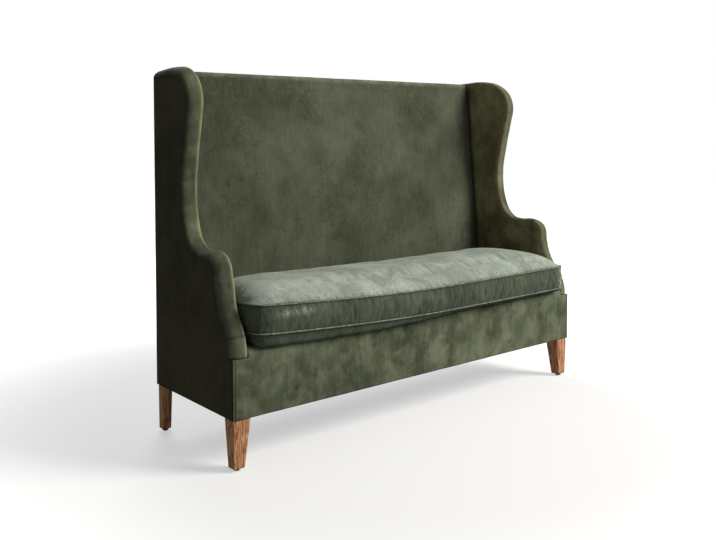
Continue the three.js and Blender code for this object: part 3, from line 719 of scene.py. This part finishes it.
def inside_back():
    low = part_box("inside_back_cover")[0].z
    arc_height = back_height - crest_front_radius
    face = np.array([[back_face(z), z] for z in np.linspace(low, arc_height, back_rows)])
    over = bend(back_face(arc_height) + crest_front_radius, arc_height, crest_front_radius, 176, 90, 12)
    down = bend(rear_depth - crest_rear_radius, back_height - crest_rear_radius, crest_rear_radius, 90, 0, 7)
    tail = np.array([rear_depth, back_height]) - crest_tail
    line = np.vstack([face, over, down, tail])
    across = packed_share(back_columns) * 2 - 1
    depth, height = [np.repeat(line[:, k:k + 1], back_columns, 1) for k in (0, 1)]
    half = half_width(depth, back_side_level)
    x = half * across[None, :]
    from_side = half - np.abs(x)
    base = np.stack([x, front_y + depth, height], -1)
    on_face = fade(height, arc_height, arc_height - crest_blend)
    away = filled(from_side, back_fill)
    swell = (back_fullness + ripples(base, back_ripples)) * away * on_face
    crest_wave = ripples(base * [1, 0.2, 0.2], crest_ripples) * (1 - on_face) * away
    edge = fade(from_side, back_side_reach, 0)
    depth = depth - swell + back_side_tuck * edge ** 2 * (height < back_height - 0.01)
    height = height + crest_wave * fade(height, back_height - 0.02, back_height - 0.01)
    points = np.stack([x, front_y + depth, height], -1)
    # Paler along the crest, partly wear and partly painted highlight; painted shade beside the wings.
    wear = fade(np.abs(height - back_height + 0.004), crest_worn_and_lit, 0) * (0.45 + 0.5 * waves(base, 0.04, 10))
    tuck = fade(from_side, back_side_shadow, 0) ** 1.5
    return cloth_skin("inside_back_velvet", points, (0, -1, 0), tuck, np.clip(wear, 0, 1))


# A darker copy of the front's velvet: painted shade on the inside back, over its crushed nap.
back_shades = ((0.026, 0.030, 0.017), (0.113, 0.125, 0.084))
shaded_back_velvet = brushed_velvet("shaded_back_velvet", *back_shades, haze=0.45, crush=0.24)
finish_piece(inside_back(), "settee_frame", "velvet", shaded_back_velvet, "inside_back_cover")

# The outside back: one flat length of velvet, blind tacked under the crest, sewn down both sides to the
# outside covers and turned under the rear rail.
outside_back_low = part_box("outside_back_panel")[0].z
outside_back_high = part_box("outside_back_panel")[1].z
outside_back_fill = 0.08
outside_back_ripples = [(0.22, 0.0013, 9)]
outside_back_seam = 0.006
outside_back_columns = 150
outside_back_rows = 110


def outside_back():
    across = packed_share(outside_back_columns) * 2 - 1
    up = packed_share(outside_back_rows)
    x = np.repeat(across[None, :] * half_width(rear_depth, 0.0), len(up), 0)
    z = np.repeat((outside_back_low + (outside_back_high - outside_back_low) * up)[:, None], len(across), 1)
    distance = edge_distance(np.stack([x, z], -1))
    base = np.stack([x, 0 * x, z], -1)
    edge = fade(distance, outside_back_seam, 0)
    fill = filled(distance, outside_back_fill)
    depth = rear_depth + (cover_fullness + ripples(base, outside_back_ripples)) * fill - rear_fold * edge ** 2
    points = np.stack([x, front_y + depth, z], -1)
    # Painted shade along its seams.
    return cloth_skin("outside_back_velvet", points, (0, 1, 0), edge ** 1.5)


# A darker copy of the front's velvet: painted shade on the outside back.
shaded_outer_velvet = brushed_velvet("shaded_outer_velvet", (0.017, 0.020, 0.011), (0.085, 0.096, 0.060), haze=0.6)
finish_piece(outside_back(), "settee_frame", "velvet", shaded_outer_velvet, "outside_back_panel")

# The front of the seat: velvet over a thin pad, rounded at the top edge, turned under the rail and tacked.
# Its two ends are folded back into a ledge where the rolls come down, with painted shade on both ends and the
# ledge.
deck_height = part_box("front_cover")[1].z
front_top_radius = 0.022
front_bottom_radius = 0.006
front_wrap = 0.046
front_fullness = 0.0022
front_ripples = [(0.085, 0.0014, 11), (0.03, 0.0005, 12)]
front_sag = [(0.12, 0.0012, 13)]
fold_share = 0.45
fold_gap = 0.0006
notch_gap = 0.0012
front_blend = 0.03
front_rows = 46
front_columns = 200
front_end_columns = 14


def front_cover():
    bottom = np.array([[front_wrap, underside], [0.02, underside]])
    turn = bend(front_bottom_radius, underside + front_bottom_radius, front_bottom_radius, -90, -180, 6)
    foot_row = roll_foot - 0.0004
    rise = np.array([[0, z] for z in np.linspace(turn[-1, 1], foot_row, front_rows)[1:]])
    join = np.array([[0, deck_height - front_top_radius]])
    over = bend(front_top_radius, deck_height - front_top_radius, front_top_radius, 178, 90, 10)
    line = np.vstack([bottom, turn, rise, join, over, [[front_wrap, deck_height]]])
    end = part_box("front_cover")[1].x
    notch = half_width(line[:, :1], roll_inner - notch_gap)
    between = np.linspace(-1, 1, front_columns)[None, 1:-1]
    ends = notch + (end - notch) * packed_share(front_end_columns)[None, :]
    x = np.hstack([-ends[:, ::-1], notch * between, ends])
    depth, height = [np.repeat(line[:, k:k + 1], x.shape[1], 1) for k in (0, 1)]
    folded = (np.abs(x) > notch + 0.0002) & (height > foot_row)
    base = np.stack([x, depth, height], -1)
    from_end = end - np.abs(x)
    face = fade(height, underside, underside + front_blend) * fade(height, deck_height, deck_height - 0.02)
    swell = (front_fullness + ripples(base, front_ripples)) * face * fade(from_end, 0, 0.05)
    sag = ripples(base * [1, 0, 0], front_sag) * fade(height, underside + front_blend, underside)
    depth = np.where(folded, (height - foot_row) * fold_share, depth - swell)
    height = np.where(folded, roll_foot + fold_gap, height - np.abs(sag))
    points = np.stack([x, front_y + depth, height], -1)
    # Painted shade at both ends and on the folded ledge.
    tuck = np.maximum(fade(from_end, 0.004, 0), folded * 0.7)
    return cloth_skin("front_velvet", points, (0, -1, 0), tuck)


velvet = brushed_velvet("brushed_velvet", *moss)
finish_piece(front_cover(), "settee_frame", "velvet", velvet, "front_cover")

# The corner piping: a cotton cord in a bias strip of the same velvet, sewn up each front corner from the
# underside to the foot of the roll. It is paler where it has been rubbed, and paler on one side as a painted
# highlight.
piping_sides = 12
piping_points = 50
piping_sway = 0.0004
piping_rub_and_highlight = 1.7


def corded(name, line, radius, sides, closed=False, up=(0, 0, 1), rub_and_highlight=1.0):
    """A soft cord along a line of points, a little uneven as a covered cord is."""
    ahead = np.roll(line, -1, 0) if closed else np.vstack([line[1:], 2 * line[-1] - line[-2]])
    behind = np.roll(line, 1, 0) if closed else np.vstack([2 * line[0] - line[1], line[:-1]])
    along = unit(ahead - behind)
    sideways = unit(np.cross(along, np.array(up, float)))
    upward = np.cross(sideways, along)
    angles = np.arange(sides) * 2 * math.pi / sides
    size = radius * (1 + 0.07 * waves(line, 0.012, 14) + 0.05 * waves(line, 0.05, 15))
    ring = np.cos(angles)[None, :, None] * sideways[:, None] + np.sin(angles)[None, :, None] * upward[:, None]
    points = line[:, None] + ring * size[:, None, None]
    if closed:
        points = np.concatenate([points, points[:1]])
    count = len(points)
    # One side of the cord is painted paler, a painted highlight mixed with uneven rubbed wear.
    wear = np.clip(np.sin(angles) * 0.3 + 0.5, 0, 1) * np.ones(count)[:, None]
    wear = wear * (0.75 + 0.5 * waves(points[:, 0], 0.02, 16))[:, None] * rub_and_highlight
    cord = from_grid(name, points, ring=True, marks={"tuck": 0 * wear, "wear": np.clip(wear, 0, 1)})
    if closed:
        closed_up(cord, weld=0.00002)
    else:
        closed_up(cord, [range(sides), range(sides * (count - 1), sides * count)])
    return cord


for side in both_sides:
    low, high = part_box(f"corner_piping_{side}")
    middle = (low + high) / 2
    heights = np.linspace(low.z, high.z, piping_points)
    line = np.stack([np.full(piping_points, middle.x), np.full(piping_points, middle.y), heights], -1)
    line[:, :2] += np.stack([waves(line, 0.03, 17), waves(line, 0.03, 18)], -1) * piping_sway
    radius = (high.x - low.x) / 2
    cord = corded(f"corner_cord_{side}", line, radius, piping_sides, up=(0, 1, 0), rub_and_highlight=piping_rub_and_highlight)
    finish_piece(cord, "settee_frame", "velvet", velvet, f"corner_piping_{side}")

# The underside: a thin black lining of bonded fibre, stapled to the rails all round so that dust stays in
# and the webbing is hidden.


def black_lining():
    material, shader, place = new_finish("black_lining", roughness=0.95)
    specks = place.clouds(800, 3, 0.6)
    colour = specks.tint((0.008, 0.008, 0.008), (0.03, 0.03, 0.03))
    feed(shader, base_color=colour, normal=specks.relief(0.0004, 0.5))
    return material


dress(["underside_lining"], black_lining())

# The seat cushion: a boxed cover of softer, washed velvet over a soft foam core, piped along both seams. Its
# plan narrows to the back, its front bows out and its sides draw in. It lies loose on the seat, hangs over
# the front and rides up at its left end, against the arm.
cushion_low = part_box("cushion_piping_bottom")[0].z + 0.003
border_height = 0.085
cushion_high = cushion_low + border_height
crown = 0.0535
crown_reach = 0.048
left_lift = 0.037
right_lift = 0.001
lift_power = 1.5
rear_lift_share = 0.3
front_overhang = 0.034
front_bow = 0.008
side_draw = 0.005
corner_radius = 0.052
corner_points = 17
cushion_inward = 0.071
cushion_back = back_face(cushion_low) - 0.012
underside_drop = 0.0078
lift_falloff = [(0, 1), (0.017, 0.66), (0.052, 0.44), (0.147, 0.1), (0.3, 0)]
front_droop = 0.021
deck_gap = 0.0012
border_bulge = 0.004
border_ripples = [(0.035, 0.0016, 23)]
border_pleats = [(0.013, 0.0006, 24)]
border_crumple = [(0.013, 0.0026, 27)]
top_folds = [(0.10, 0.0022, 21)]
top_dents = [(0.045, 0.0009, 22)]
top_fullness = 0.001
edge_rise = 0.012
tape_gap = 0.0005
tape_draw = 0.009
corner_depth = 0.035
crumple_x, crumple_reach = 0.718, 0.02
crease_x, crease_height, crease_slope, crease_width = -0.728, 0.475, 0.1, 0.003
rubbed_x, rubbed_height, rubbed_length, rubbed_band = -0.61, 0.456, 0.062, 0.010
worn_and_lit_corner_x, worn_and_lit_corner_reach = 0.714, 0.017
across_count = 240
deep_count = 72
border_count = 14
cord_radius = 0.0026
cord_sides = 10
cord_stand = 0.0018


def cushion_lift(x, depth):
    back = np.clip((depth + front_overhang) / (cushion_back + front_overhang), 0, 1)
    lift = np.where(x < 0, left_lift, right_lift)
    return lift * (1 - (1 - rear_lift_share) * back) * (np.abs(x) / half_front) ** lift_power


def bow_between(start, control, stop, steps=corner_points):
    t = np.linspace(0, 1, steps)[:, None]
    return (1 - t) ** 2 * np.array(start) + 2 * t * (1 - t) * np.array(control) + t ** 2 * np.array(stop)


def cushion_sides():
    """The left, right, front and rear lines of the plan, each from the middle of one corner to the next."""
    front, rear = -front_overhang, cushion_back
    middle, r = (front + rear) / 2, corner_radius
    half_of = [half_width(depth, cushion_inward) for depth in (front, front + r, middle, rear - r, rear)]
    front_half, corner_half, middle_half, tail_half, rear_half = half_of
    front_right = bow_between((front_half - r, front), (front_half, front), (corner_half, front + r))
    rear_right = bow_between((tail_half, rear - r), (rear_half, rear), (rear_half - r, rear))
    mirror = np.array([-1, 1])
    front_left, rear_left = front_right[::-1] * mirror, rear_right[::-1] * mirror
    bow = bow_between(front_left[-1], (0, front - front_bow), front_right[0], 40)
    side = bow_between(front_right[-1], (middle_half - side_draw, middle), rear_right[0], 30)
    half = corner_points // 2
    front_line = np.vstack([front_left[half:], bow[1:-1], front_right[:half + 1]])
    right_line = np.vstack([front_right[half:], side[1:-1], rear_right[:half + 1]])
    rear_points = np.vstack([rear_left[:half + 1], rear_right[half:]])
    rear_line = rear_points[np.argsort(rear_points[:, 0])]
    sides = evened(right_line * mirror, count=deep_count), evened(right_line, count=deep_count)
    return *sides, evened(front_line, count=across_count), evened(rear_line, count=across_count)


def washed_velvet():
    """Softer, greyer velvet with a fine rib, gathered at its top seam and rubbed pale in places. Its top is
    painted paler as if lit, with painted shade in the gathers and along the seams, and some pale places are
    painted highlights.
    """
    material, shader, place = new_finish(
        "washed_velvet", roughness=0.95, specular_ior_level=0.08,
        sheen_weight=0.08, sheen_roughness=0.5, sheen_tint=(0.8, 0.88, 0.78, 1),
    )
    top, gather = place.mark("top"), place.mark("gather")
    patches = place.clouds(8, 4, 0.6, 0.7).between(0.3, 0.72)
    ribs = place.stretched(1, 1, 0.06).clouds(420, 2, 0.6).between(0.36, 0.64)
    threads = place.stretched(1, 1, 0.25).clouds(330, 3, 0.7).between(0.42, 0.62)
    creases = place.stretched(1, 1, 0.16).clouds(60, 4, 0.65, 0.5).between(0.35, 0.72)
    crush = place.clouds(130, 5, 0.7, 1.5).between(0.3, 0.7)
    flecks = place.clouds(700, 3, 0.7)
    puckers = place.stretched(1, 0.12, 0.3).clouds(105, 2, 0.5, 0.3).between(0.36, 0.62)
    on_border = patches * 0.35 + creases * 0.22 + ribs * 0.22 + flecks * 0.2 - 0.06
    on_seat = patches * 0.4 + crush * 0.4 + flecks * 0.3 - 0.08
    # The top is a paler copy of the border's velvet: painted light falling on the top, over its washed tone.
    border = on_border.tint((0.022, 0.030, 0.019), (0.112, 0.136, 0.092))
    lit_seat_top = on_seat.tint((0.110, 0.135, 0.110), (0.470, 0.525, 0.455))
    colour = top.tint(border, lit_seat_top)
    # Paler where wear and painted highlight are marked.
    colour = (place.mark("wear") * (threads * 0.8 + 0.15)).tint(colour, (0.44, 0.47, 0.38))
    # Painted shade in the valleys of the gathers at the top seam.
    colour = (gather * (1 - puckers) * 0.55).tint(colour, (0.030, 0.038, 0.028))
    # Near black where painted shade is marked.
    colour = (place.mark("tuck") * 0.8).tint(colour, (0.008, 0.010, 0.007))
    fine = ribs * 0.3 + creases * 0.4 + flecks * 0.3 + crush * top * 0.5
    pulled = (gather * puckers).relief(0.0035, 0.7)
    feed(shader, base_color=colour, normal=fine.relief(0.0012, 0.5, pulled))
    return material


def ring_of(grid):
    """The places along the edge of a grid, once round."""
    rows, columns = grid.shape[:2]
    return (
        [(0, c) for c in range(columns)]
        + [(r, columns - 1) for r in range(1, rows)]
        + [(rows - 1, c) for c in range(columns - 2, -1, -1)]
        + [(r, 0) for r in range(rows - 2, 0, -1)]
    )


def cushion_border(loop):
    """Rows of points between the two seams, and how far each is drawn in behind the zip's tape."""
    outward = np.gradient(np.vstack([loop[-1:], loop, loop[:1]]), axis=0)[1:-1]
    outward = unit(np.stack([outward[:, 1], -outward[:, 0]], -1))
    lift = cushion_lift(loop[:, 0], loop[:, 1])
    tape_low, tape_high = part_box("cushion_zip_tape")
    tape_middle, tape_half = (tape_low + tape_high) / 2, (tape_high - tape_low) / 2
    behind_tape = tape_low.y - front_y - tape_gap
    crumpled = bell(loop[:, 0], crumple_x, crumple_reach) * (loop[:, 1] < corner_depth)
    rows, zipped = [], []
    for level in np.linspace(0, 1, border_count + 1):
        spot = np.column_stack([loop, np.full(len(loop), cushion_low + border_height * level) + lift])
        bulge = border_bulge + ripples(spot * [1, 1, 0.35], border_ripples)
        bulge = bulge + ripples(spot * [1, 1, 0.15], border_pleats)
        bulge = bulge + ripples(spot * [1, 1, 0.6], border_crumple) * crumpled
        spot[:, :2] += outward * (bulge * math.sin(math.pi * level))[:, None]
        past_end = np.maximum(np.abs(spot[:, 0] - tape_middle.x) - tape_half.x, 0)
        past_side = np.maximum(np.abs(spot[:, 2] - tape_middle.z) - tape_half.z, 0)
        drawn_in = np.clip(1.3 - np.hypot(past_end, past_side) / tape_draw, 0, 1) * (outward[:, 1] > 0.9)
        spot[:, 1] += np.minimum(behind_tape - spot[:, 1], 0) * drawn_in
        rows.append(spot)
        zipped.append(drawn_in)
    return np.array(rows), np.array(zipped)


def border_wear(border):
    """A faint crease near the left end, a rubbed patch in front and the crumpled right corner, which is
    painted pale partly as wear and partly as a painted highlight.
    """
    x, depth, z = border[..., 0], border[..., 1], border[..., 2]
    crease = bell(x - crease_slope * (z - crease_height), crease_x, crease_width) * (depth < 0.02) * 0.25
    rubbed = bell(x, rubbed_x, rubbed_length) * bell(z, rubbed_height, rubbed_band) * (depth < 0)
    rubbed = rubbed * np.clip(0.75 + 1.1 * waves(border * [1, 1, 0.3], 0.014, 25), 0, 1)
    corner = bell(x, worn_and_lit_corner_x, worn_and_lit_corner_reach) * (depth < corner_depth) * 0.95
    corner = corner * np.clip(0.6 + 1.6 * waves(border * [1, 1, 0.6], 0.011, 26), 0, 1)
    return np.maximum(np.maximum(crease, rubbed), corner)


def cushion_top(x, depth, inside, loop):
    """The height of the crowned top, fullest in the middle and low along every seam."""
    form = fade(inside, 0, edge_rise) ** 0.5
    to_seams = (
        depth - loop[:, 1].min(),
        loop[:, 1].max() - depth,
        half_width(depth, cushion_inward) - np.abs(x),
    )
    for distance in to_seams:
        form = form * filled(np.maximum(distance, inside), crown_reach)
    base = np.stack([x, depth, 0 * x], -1)
    folds = ripples(base * [1, 0.45, 1], top_folds) + ripples(base, top_dents) + top_fullness
    return cushion_high + cushion_lift(x, depth) + crown * form / form.max() + folds * form


def cushion_bottom(x, depth, inside):
    """The height of the underside, which rests on the seat and hangs over its front edge."""
    lift = cushion_lift(x, depth) * np.interp(inside, *np.transpose(lift_falloff))
    height = cushion_low - underside_drop * filled(inside, 0.008) + lift
    droop = front_droop * (0.3 + 0.7 * fade(x, 0.15, -0.3)) * fade(inside, 0, edge_rise) ** 0.5
    room = np.maximum(height - deck_height - deck_gap, 0) + 0.05 * fade(depth, 0, -0.022) ** 0.6
    return height - np.minimum(droop * np.clip(1.5 - inside / 0.05, 0, 1), room)


def cushion_cover():
    left, right, front, rear = cushion_sides()
    plan = patch(left, right, front, rear)
    rows, columns = plan.shape[:2]
    ring_index = ring_of(plan)
    loop = np.array([plan[spot] for spot in ring_index])
    inside = edge_distance(plan)
    x, depth = plan[..., 0], plan[..., 1]
    border, zipped = cushion_border(loop)
    body = bmesh.new()
    layers = {name: body.verts.layers.float.new(name) for name in ("tuck", "wear", "top", "gather", "held")}

    def add(point, **values):
        vertex = body.verts.new((point[0], front_y + point[1], point[2]))
        for name, value in values.items():
            vertex[layers[name]] = float(value)
        return vertex

    ring_verts = []
    shares = np.linspace(0, 1, border_count + 1)
    for level, row, wear, drawn_in in zip(shares, border, border_wear(border), zipped):
        at_seam = level in (0, 1)
        # Painted shade along both seams and behind the zip's tape.
        near = 0.7 * max(math.exp(-level / 0.05), math.exp(-(1 - level) / 0.05))
        ring_verts.append([
            add(point, held=at_seam or drawn > 0.1, tuck=max(near, drawn * 0.5), wear=rub_and_highlight, gather=level == 1)
            for point, rub_and_highlight, drawn in zip(row, wear, drawn_in)
        ])
    place_in_ring = {spot: k for k, spot in enumerate(ring_index)}

    def lay(heights, ring, under):
        table = {}
        for spot in np.ndindex(rows, columns):
            if spot in place_in_ring:
                table[spot] = ring[place_in_ring[spot]]
                continue
            # Painted shade near the seams, and a painted shadow on the right part of the underside.
            near = 0.4 * math.exp(-inside[spot] / 0.004)
            if under:
                near = max(near, 0.8 * fade(x[spot], -0.1, 0.2))
            gather = 0 if under else math.exp(-inside[spot] / 0.011)
            held = under and inside[spot] > 0.045
            point = (x[spot], depth[spot], heights[spot])
            table[spot] = add(point, held=held, top=not under, tuck=near, gather=gather)
        for r in range(rows - 1):
            for c in range(columns - 1):
                quad = [table[r, c], table[r, c + 1], table[r + 1, c + 1], table[r + 1, c]]
                body.faces.new(quad[::-1] if under else quad)

    lay(cushion_top(x, depth, inside, loop), ring_verts[-1], False)
    lay(cushion_bottom(x, depth, inside), ring_verts[0], True)
    for lower, upper in zip(ring_verts[:-1], ring_verts[1:]):
        for k in range(len(ring_index)):
            after = (k + 1) % len(ring_index)
            body.faces.new([lower[k], lower[after], upper[after], upper[k]])
    bmesh.ops.recalc_face_normals(body, faces=body.faces)
    mesh = bpy.data.meshes.new("cushion_velvet")
    body.to_mesh(mesh)
    body.free()
    mesh.shade_smooth()
    return as_piece("cushion_velvet", mesh), border


def read_floats(source, name, width):
    values = np.empty(len(source) * width)
    source.foreach_get(name, values)
    return values.reshape(-1, width)


def plump_up(piece, frames=20, cap=0.012, sink=0.0006, pressure=4.0, spare=-0.035):
    """Cloth simulation: air pressure inside the cover, with its seams and its underside held."""
    mesh = piece.data
    start = read_floats(mesh.vertices, "co", 3)
    held = read_floats(mesh.attributes["held"].data, "value", 1)
    group = piece.vertex_groups.new(name="held")
    group.add(np.nonzero(held > 0.5)[0].tolist(), 1.0, "REPLACE")
    cloth = piece.modifiers.new("plump", "CLOTH")
    cloth.settings.use_pressure = True
    cloth.settings.uniform_pressure_force = pressure
    cloth.settings.vertex_group_mass = "held"
    cloth.settings.shrink_min = spare
    cloth.settings.tension_stiffness = 15
    cloth.settings.compression_stiffness = 15
    cloth.settings.bending_stiffness = 0.4
    cloth.settings.effector_weights.gravity = 0
    cloth.point_cache.frame_start = 1
    cloth.point_cache.frame_end = frames
    scene = bpy.context.scene
    for step in range(1, frames + 1):
        scene.frame_set(step)
    blown = piece.evaluated_get(bpy.context.evaluated_depsgraph_get())
    moved = read_floats(blown.to_mesh().vertices, "co", 3)
    blown.to_mesh_clear()
    piece.modifiers.remove(cloth)
    piece.vertex_groups.clear()
    scene.frame_set(1)
    outward = read_floats(mesh.vertex_normals, "vector", 3)
    shift = moved - start
    sunk = np.minimum((shift * outward).sum(1, keepdims=True), 0)
    shift += outward * (np.maximum(sunk, -sink) - sunk)
    length = np.linalg.norm(shift, axis=1, keepdims=True)
    shift = shift * (cap * np.tanh(length / cap) / np.maximum(length, 1e-9))
    mesh.vertices.foreach_set("co", (start + shift).ravel())
    mesh.update()


washed = washed_velvet()
cover, border_rows = cushion_cover()
plump_up(cover)
finish_piece(cover, "seat_cushion", "cushion_cloth", washed, "cushion_cover")

for level, row in (("top", border_rows[-1]), ("bottom", border_rows[0])):
    line = row + [0, front_y, 0]
    step = line - np.roll(line, 1, 0)
    outward = unit(np.stack([step[:, 1], -step[:, 0], 0 * step[:, 0]], -1))
    cord = corded(f"cushion_cord_{level}", line + outward * cord_stand, cord_radius, cord_sides, closed=True)
    finish_piece(cord, "seat_cushion", "cushion_cloth", washed, f"cushion_piping_{level}")

# The zip: a black woven tape along the back of the border, with brass teeth clenched down its middle and a
# brass slider that runs along them.
tooth_sizes = {"Length": 1.0, "Pitch": 0.003, "Tooth width": 0.0055, "Tooth thickness": 0.0012}
tooth_stand = 0.0004
tooth_stagger = 0.0016


def zip_tape():
    material, shader, place = new_finish("zip_tape", roughness=0.85)
    ribs = (place.part("X") * 3500).sine() * 0.5 + 0.5
    colour = ribs.tint((0.012, 0.014, 0.012), (0.035, 0.04, 0.034))
    feed(shader, base_color=colour, normal=ribs.relief(0.0003, 0.5))
    return material


def old_brass():
    material, shader, place = new_finish("old_brass", roughness=0.38, metallic=1.0)
    tarnish = place.clouds(300, 4, 0.6)
    colour = tarnish.tint((0.30, 0.19, 0.07), (0.62, 0.46, 0.20))
    feed(shader, base_color=colour, roughness=tarnish * 0.3 + 0.25)
    return material


def zip_teeth(brass):
    """Brass teeth along the tape, set a little up and down in turn, by Geometry Nodes."""
    low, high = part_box("cushion_zip_tape")
    tree = bpy.data.node_groups.new("zip_teeth", "GeometryNodeTree")
    tree.interface.new_socket("Geometry", in_out="OUTPUT", socket_type="NodeSocketGeometry")
    for label, value in tooth_sizes.items():
        tree.interface.new_socket(label, in_out="INPUT", socket_type="NodeSocketFloat").default_value = value
    given = tree.nodes.new("NodeGroupInput").outputs
    length, pitch, width, thickness = [Thread(tree, given[label]) for label in tooth_sizes]
    row = pitch.node("GeometryNodeMeshLine", {
        "Count": pitch.worked("DIVIDE", length, pitch),
        "Start Location": (low.x, high.y + tooth_stand, (low.z + high.z) / 2),
        "Offset": pitch.node("CombineXYZ", {"X": pitch}),
    })
    size = pitch.node("CombineXYZ", {"X": pitch * 0.5, "Y": thickness, "Z": width})
    tooth = pitch.node("GeometryNodeMeshCube", {"Size": size})
    turn = pitch.worked("PINGPONG", pitch.node("GeometryNodeInputIndex", {}), 1.0)
    shift = pitch.node("CombineXYZ", {"Z": turn * tooth_stagger - tooth_stagger / 2})
    moved = pitch.node("GeometryNodeSetPosition", {"Geometry": row, "Offset": shift})
    placed = pitch.node("GeometryNodeInstanceOnPoints", {"Points": moved, "Instance": tooth})
    real = pitch.node("GeometryNodeRealizeInstances", {"Geometry": placed})
    painted = pitch.node("GeometryNodeSetMaterial", {"Geometry": real, "Material": brass})
    tree.links.new(painted.socket, tree.nodes.new("NodeGroupOutput").inputs[0])

    carrier = as_piece("zip_teeth_maker", bpy.data.meshes.new("zip_teeth_maker"))
    modifier = carrier.modifiers.new("teeth", "NODES")
    modifier.node_group = tree
    inputs = {item.name: item.identifier for item in tree.interface.items_tree if item.in_out == "INPUT"}
    modifier[inputs["Length"]] = high.x - low.x
    graph = bpy.context.evaluated_depsgraph_get()
    mesh = bpy.data.meshes.new_from_object(carrier.evaluated_get(graph), depsgraph=graph)
    bpy.data.objects.remove(carrier)
    return as_piece("zip_teeth", mesh)


brass = old_brass()
dress(["cushion_zip_tape"], zip_tape())
dress(["zip_slider"], brass)
teeth = zip_teeth(brass)
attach(teeth, "seat_cushion")

# The room: a plain pale floor and sky, one large soft lamp in front on the right and a weaker one behind,
# and a camera where the photograph was taken from.
photo_width = 716
photo_height = 540
focal_pixels = 930.2922
horizon_row = 177.68
camera_x, camera_depth, camera_height = -2.3286, -2.2015, 1.0004
camera_yaw, camera_pitch = 0.736599, 0.052365
camera_reach = 60
floor_reach = 14
floor_grey = 0.42
sky_strength = 0.22


def pale_floor():
    """Pale grey, lifted to white for the camera, all the more so far from the settee."""
    material, shader, place = new_finish(
        "pale_floor", roughness=0.9, specular_ior_level=0.1,
        emission_strength=1, base_color=(floor_grey, floor_grey, floor_grey, 1),
    )
    distance = place.node("VectorMath", {0: place}, output=1, operation="LENGTH")
    camera_rays = place.node("LightPath", {})
    feed(shader, emission_color=(distance.between(0.95, 2.4) * 0.5 + 0.5) * camera_rays)
    return material


def lamp(name, place, target, size, power, colour):
    light = bpy.data.lights.new(name, "AREA")
    light.shape = "DISK"
    light.size = size
    light.energy = power
    light.color = colour
    aim = Vector(target) - Vector(place)
    as_piece(name, light).matrix_world = (
        Matrix.Translation(place) @ aim.to_track_quat("-Z", "Y").to_matrix().to_4x4()
    )


floor_mesh = bpy.data.meshes.new("floor")
floor_corners = [(floor_reach * x, floor_reach * y, 0) for x, y in ((-1, -1), (1, -1), (1, 1), (-1, 1))]
floor_mesh.from_pydata(floor_corners, [], [(0, 1, 2, 3)])
floor_mesh.materials.append(pale_floor())
as_piece("floor", floor_mesh)

world = bpy.data.worlds.new("studio")
world.use_nodes = True
bpy.context.scene.world = world
background = world.node_tree.nodes["Background"]
background.inputs["Color"].default_value = (1, 1, 1, 1)
rays = world.node_tree.nodes.new("ShaderNodeLightPath").outputs
seen = sum(Thread(world.node_tree, rays[f"Is {kind} Ray"]) for kind in ("Camera", "Glossy", "Transmission"))
strength = seen.between(0.0, 1.0) * (1 - sky_strength) + sky_strength
world.node_tree.links.new(strength.socket, background.inputs["Strength"])

lamp("key", (3.5, -4.5, 4.2), (0.1, 0, 0.5), 3.2, 640, (1, 0.97, 0.92))
lamp("rear", (1.2, 3.6, 2.8), (0, 0, 0.7), 2.5, 120, (1, 1, 1))

camera = bpy.data.cameras.new("camera")
camera.sensor_width = 36
camera.sensor_fit = "HORIZONTAL"
camera.lens = focal_pixels / photo_width * camera.sensor_width
camera.shift_y = (horizon_row - photo_height / 2) / photo_width
camera.clip_end = camera_reach
ahead = Vector((
    math.sin(camera_yaw) * math.cos(camera_pitch),
    math.cos(camera_yaw) * math.cos(camera_pitch),
    -math.sin(camera_pitch),
))
right = ahead.cross(Vector((0, 0, 1))).normalized()
above = right.cross(ahead)
turn = Matrix((right, above, -ahead)).transposed().to_4x4()
eye = as_piece("camera", camera)
eye.matrix_world = Matrix.Translation((camera_x, front_y + camera_depth, camera_height)) @ turn
bpy.context.scene.camera = eye
bpy.context.scene.view_settings.view_transform = "Standard"
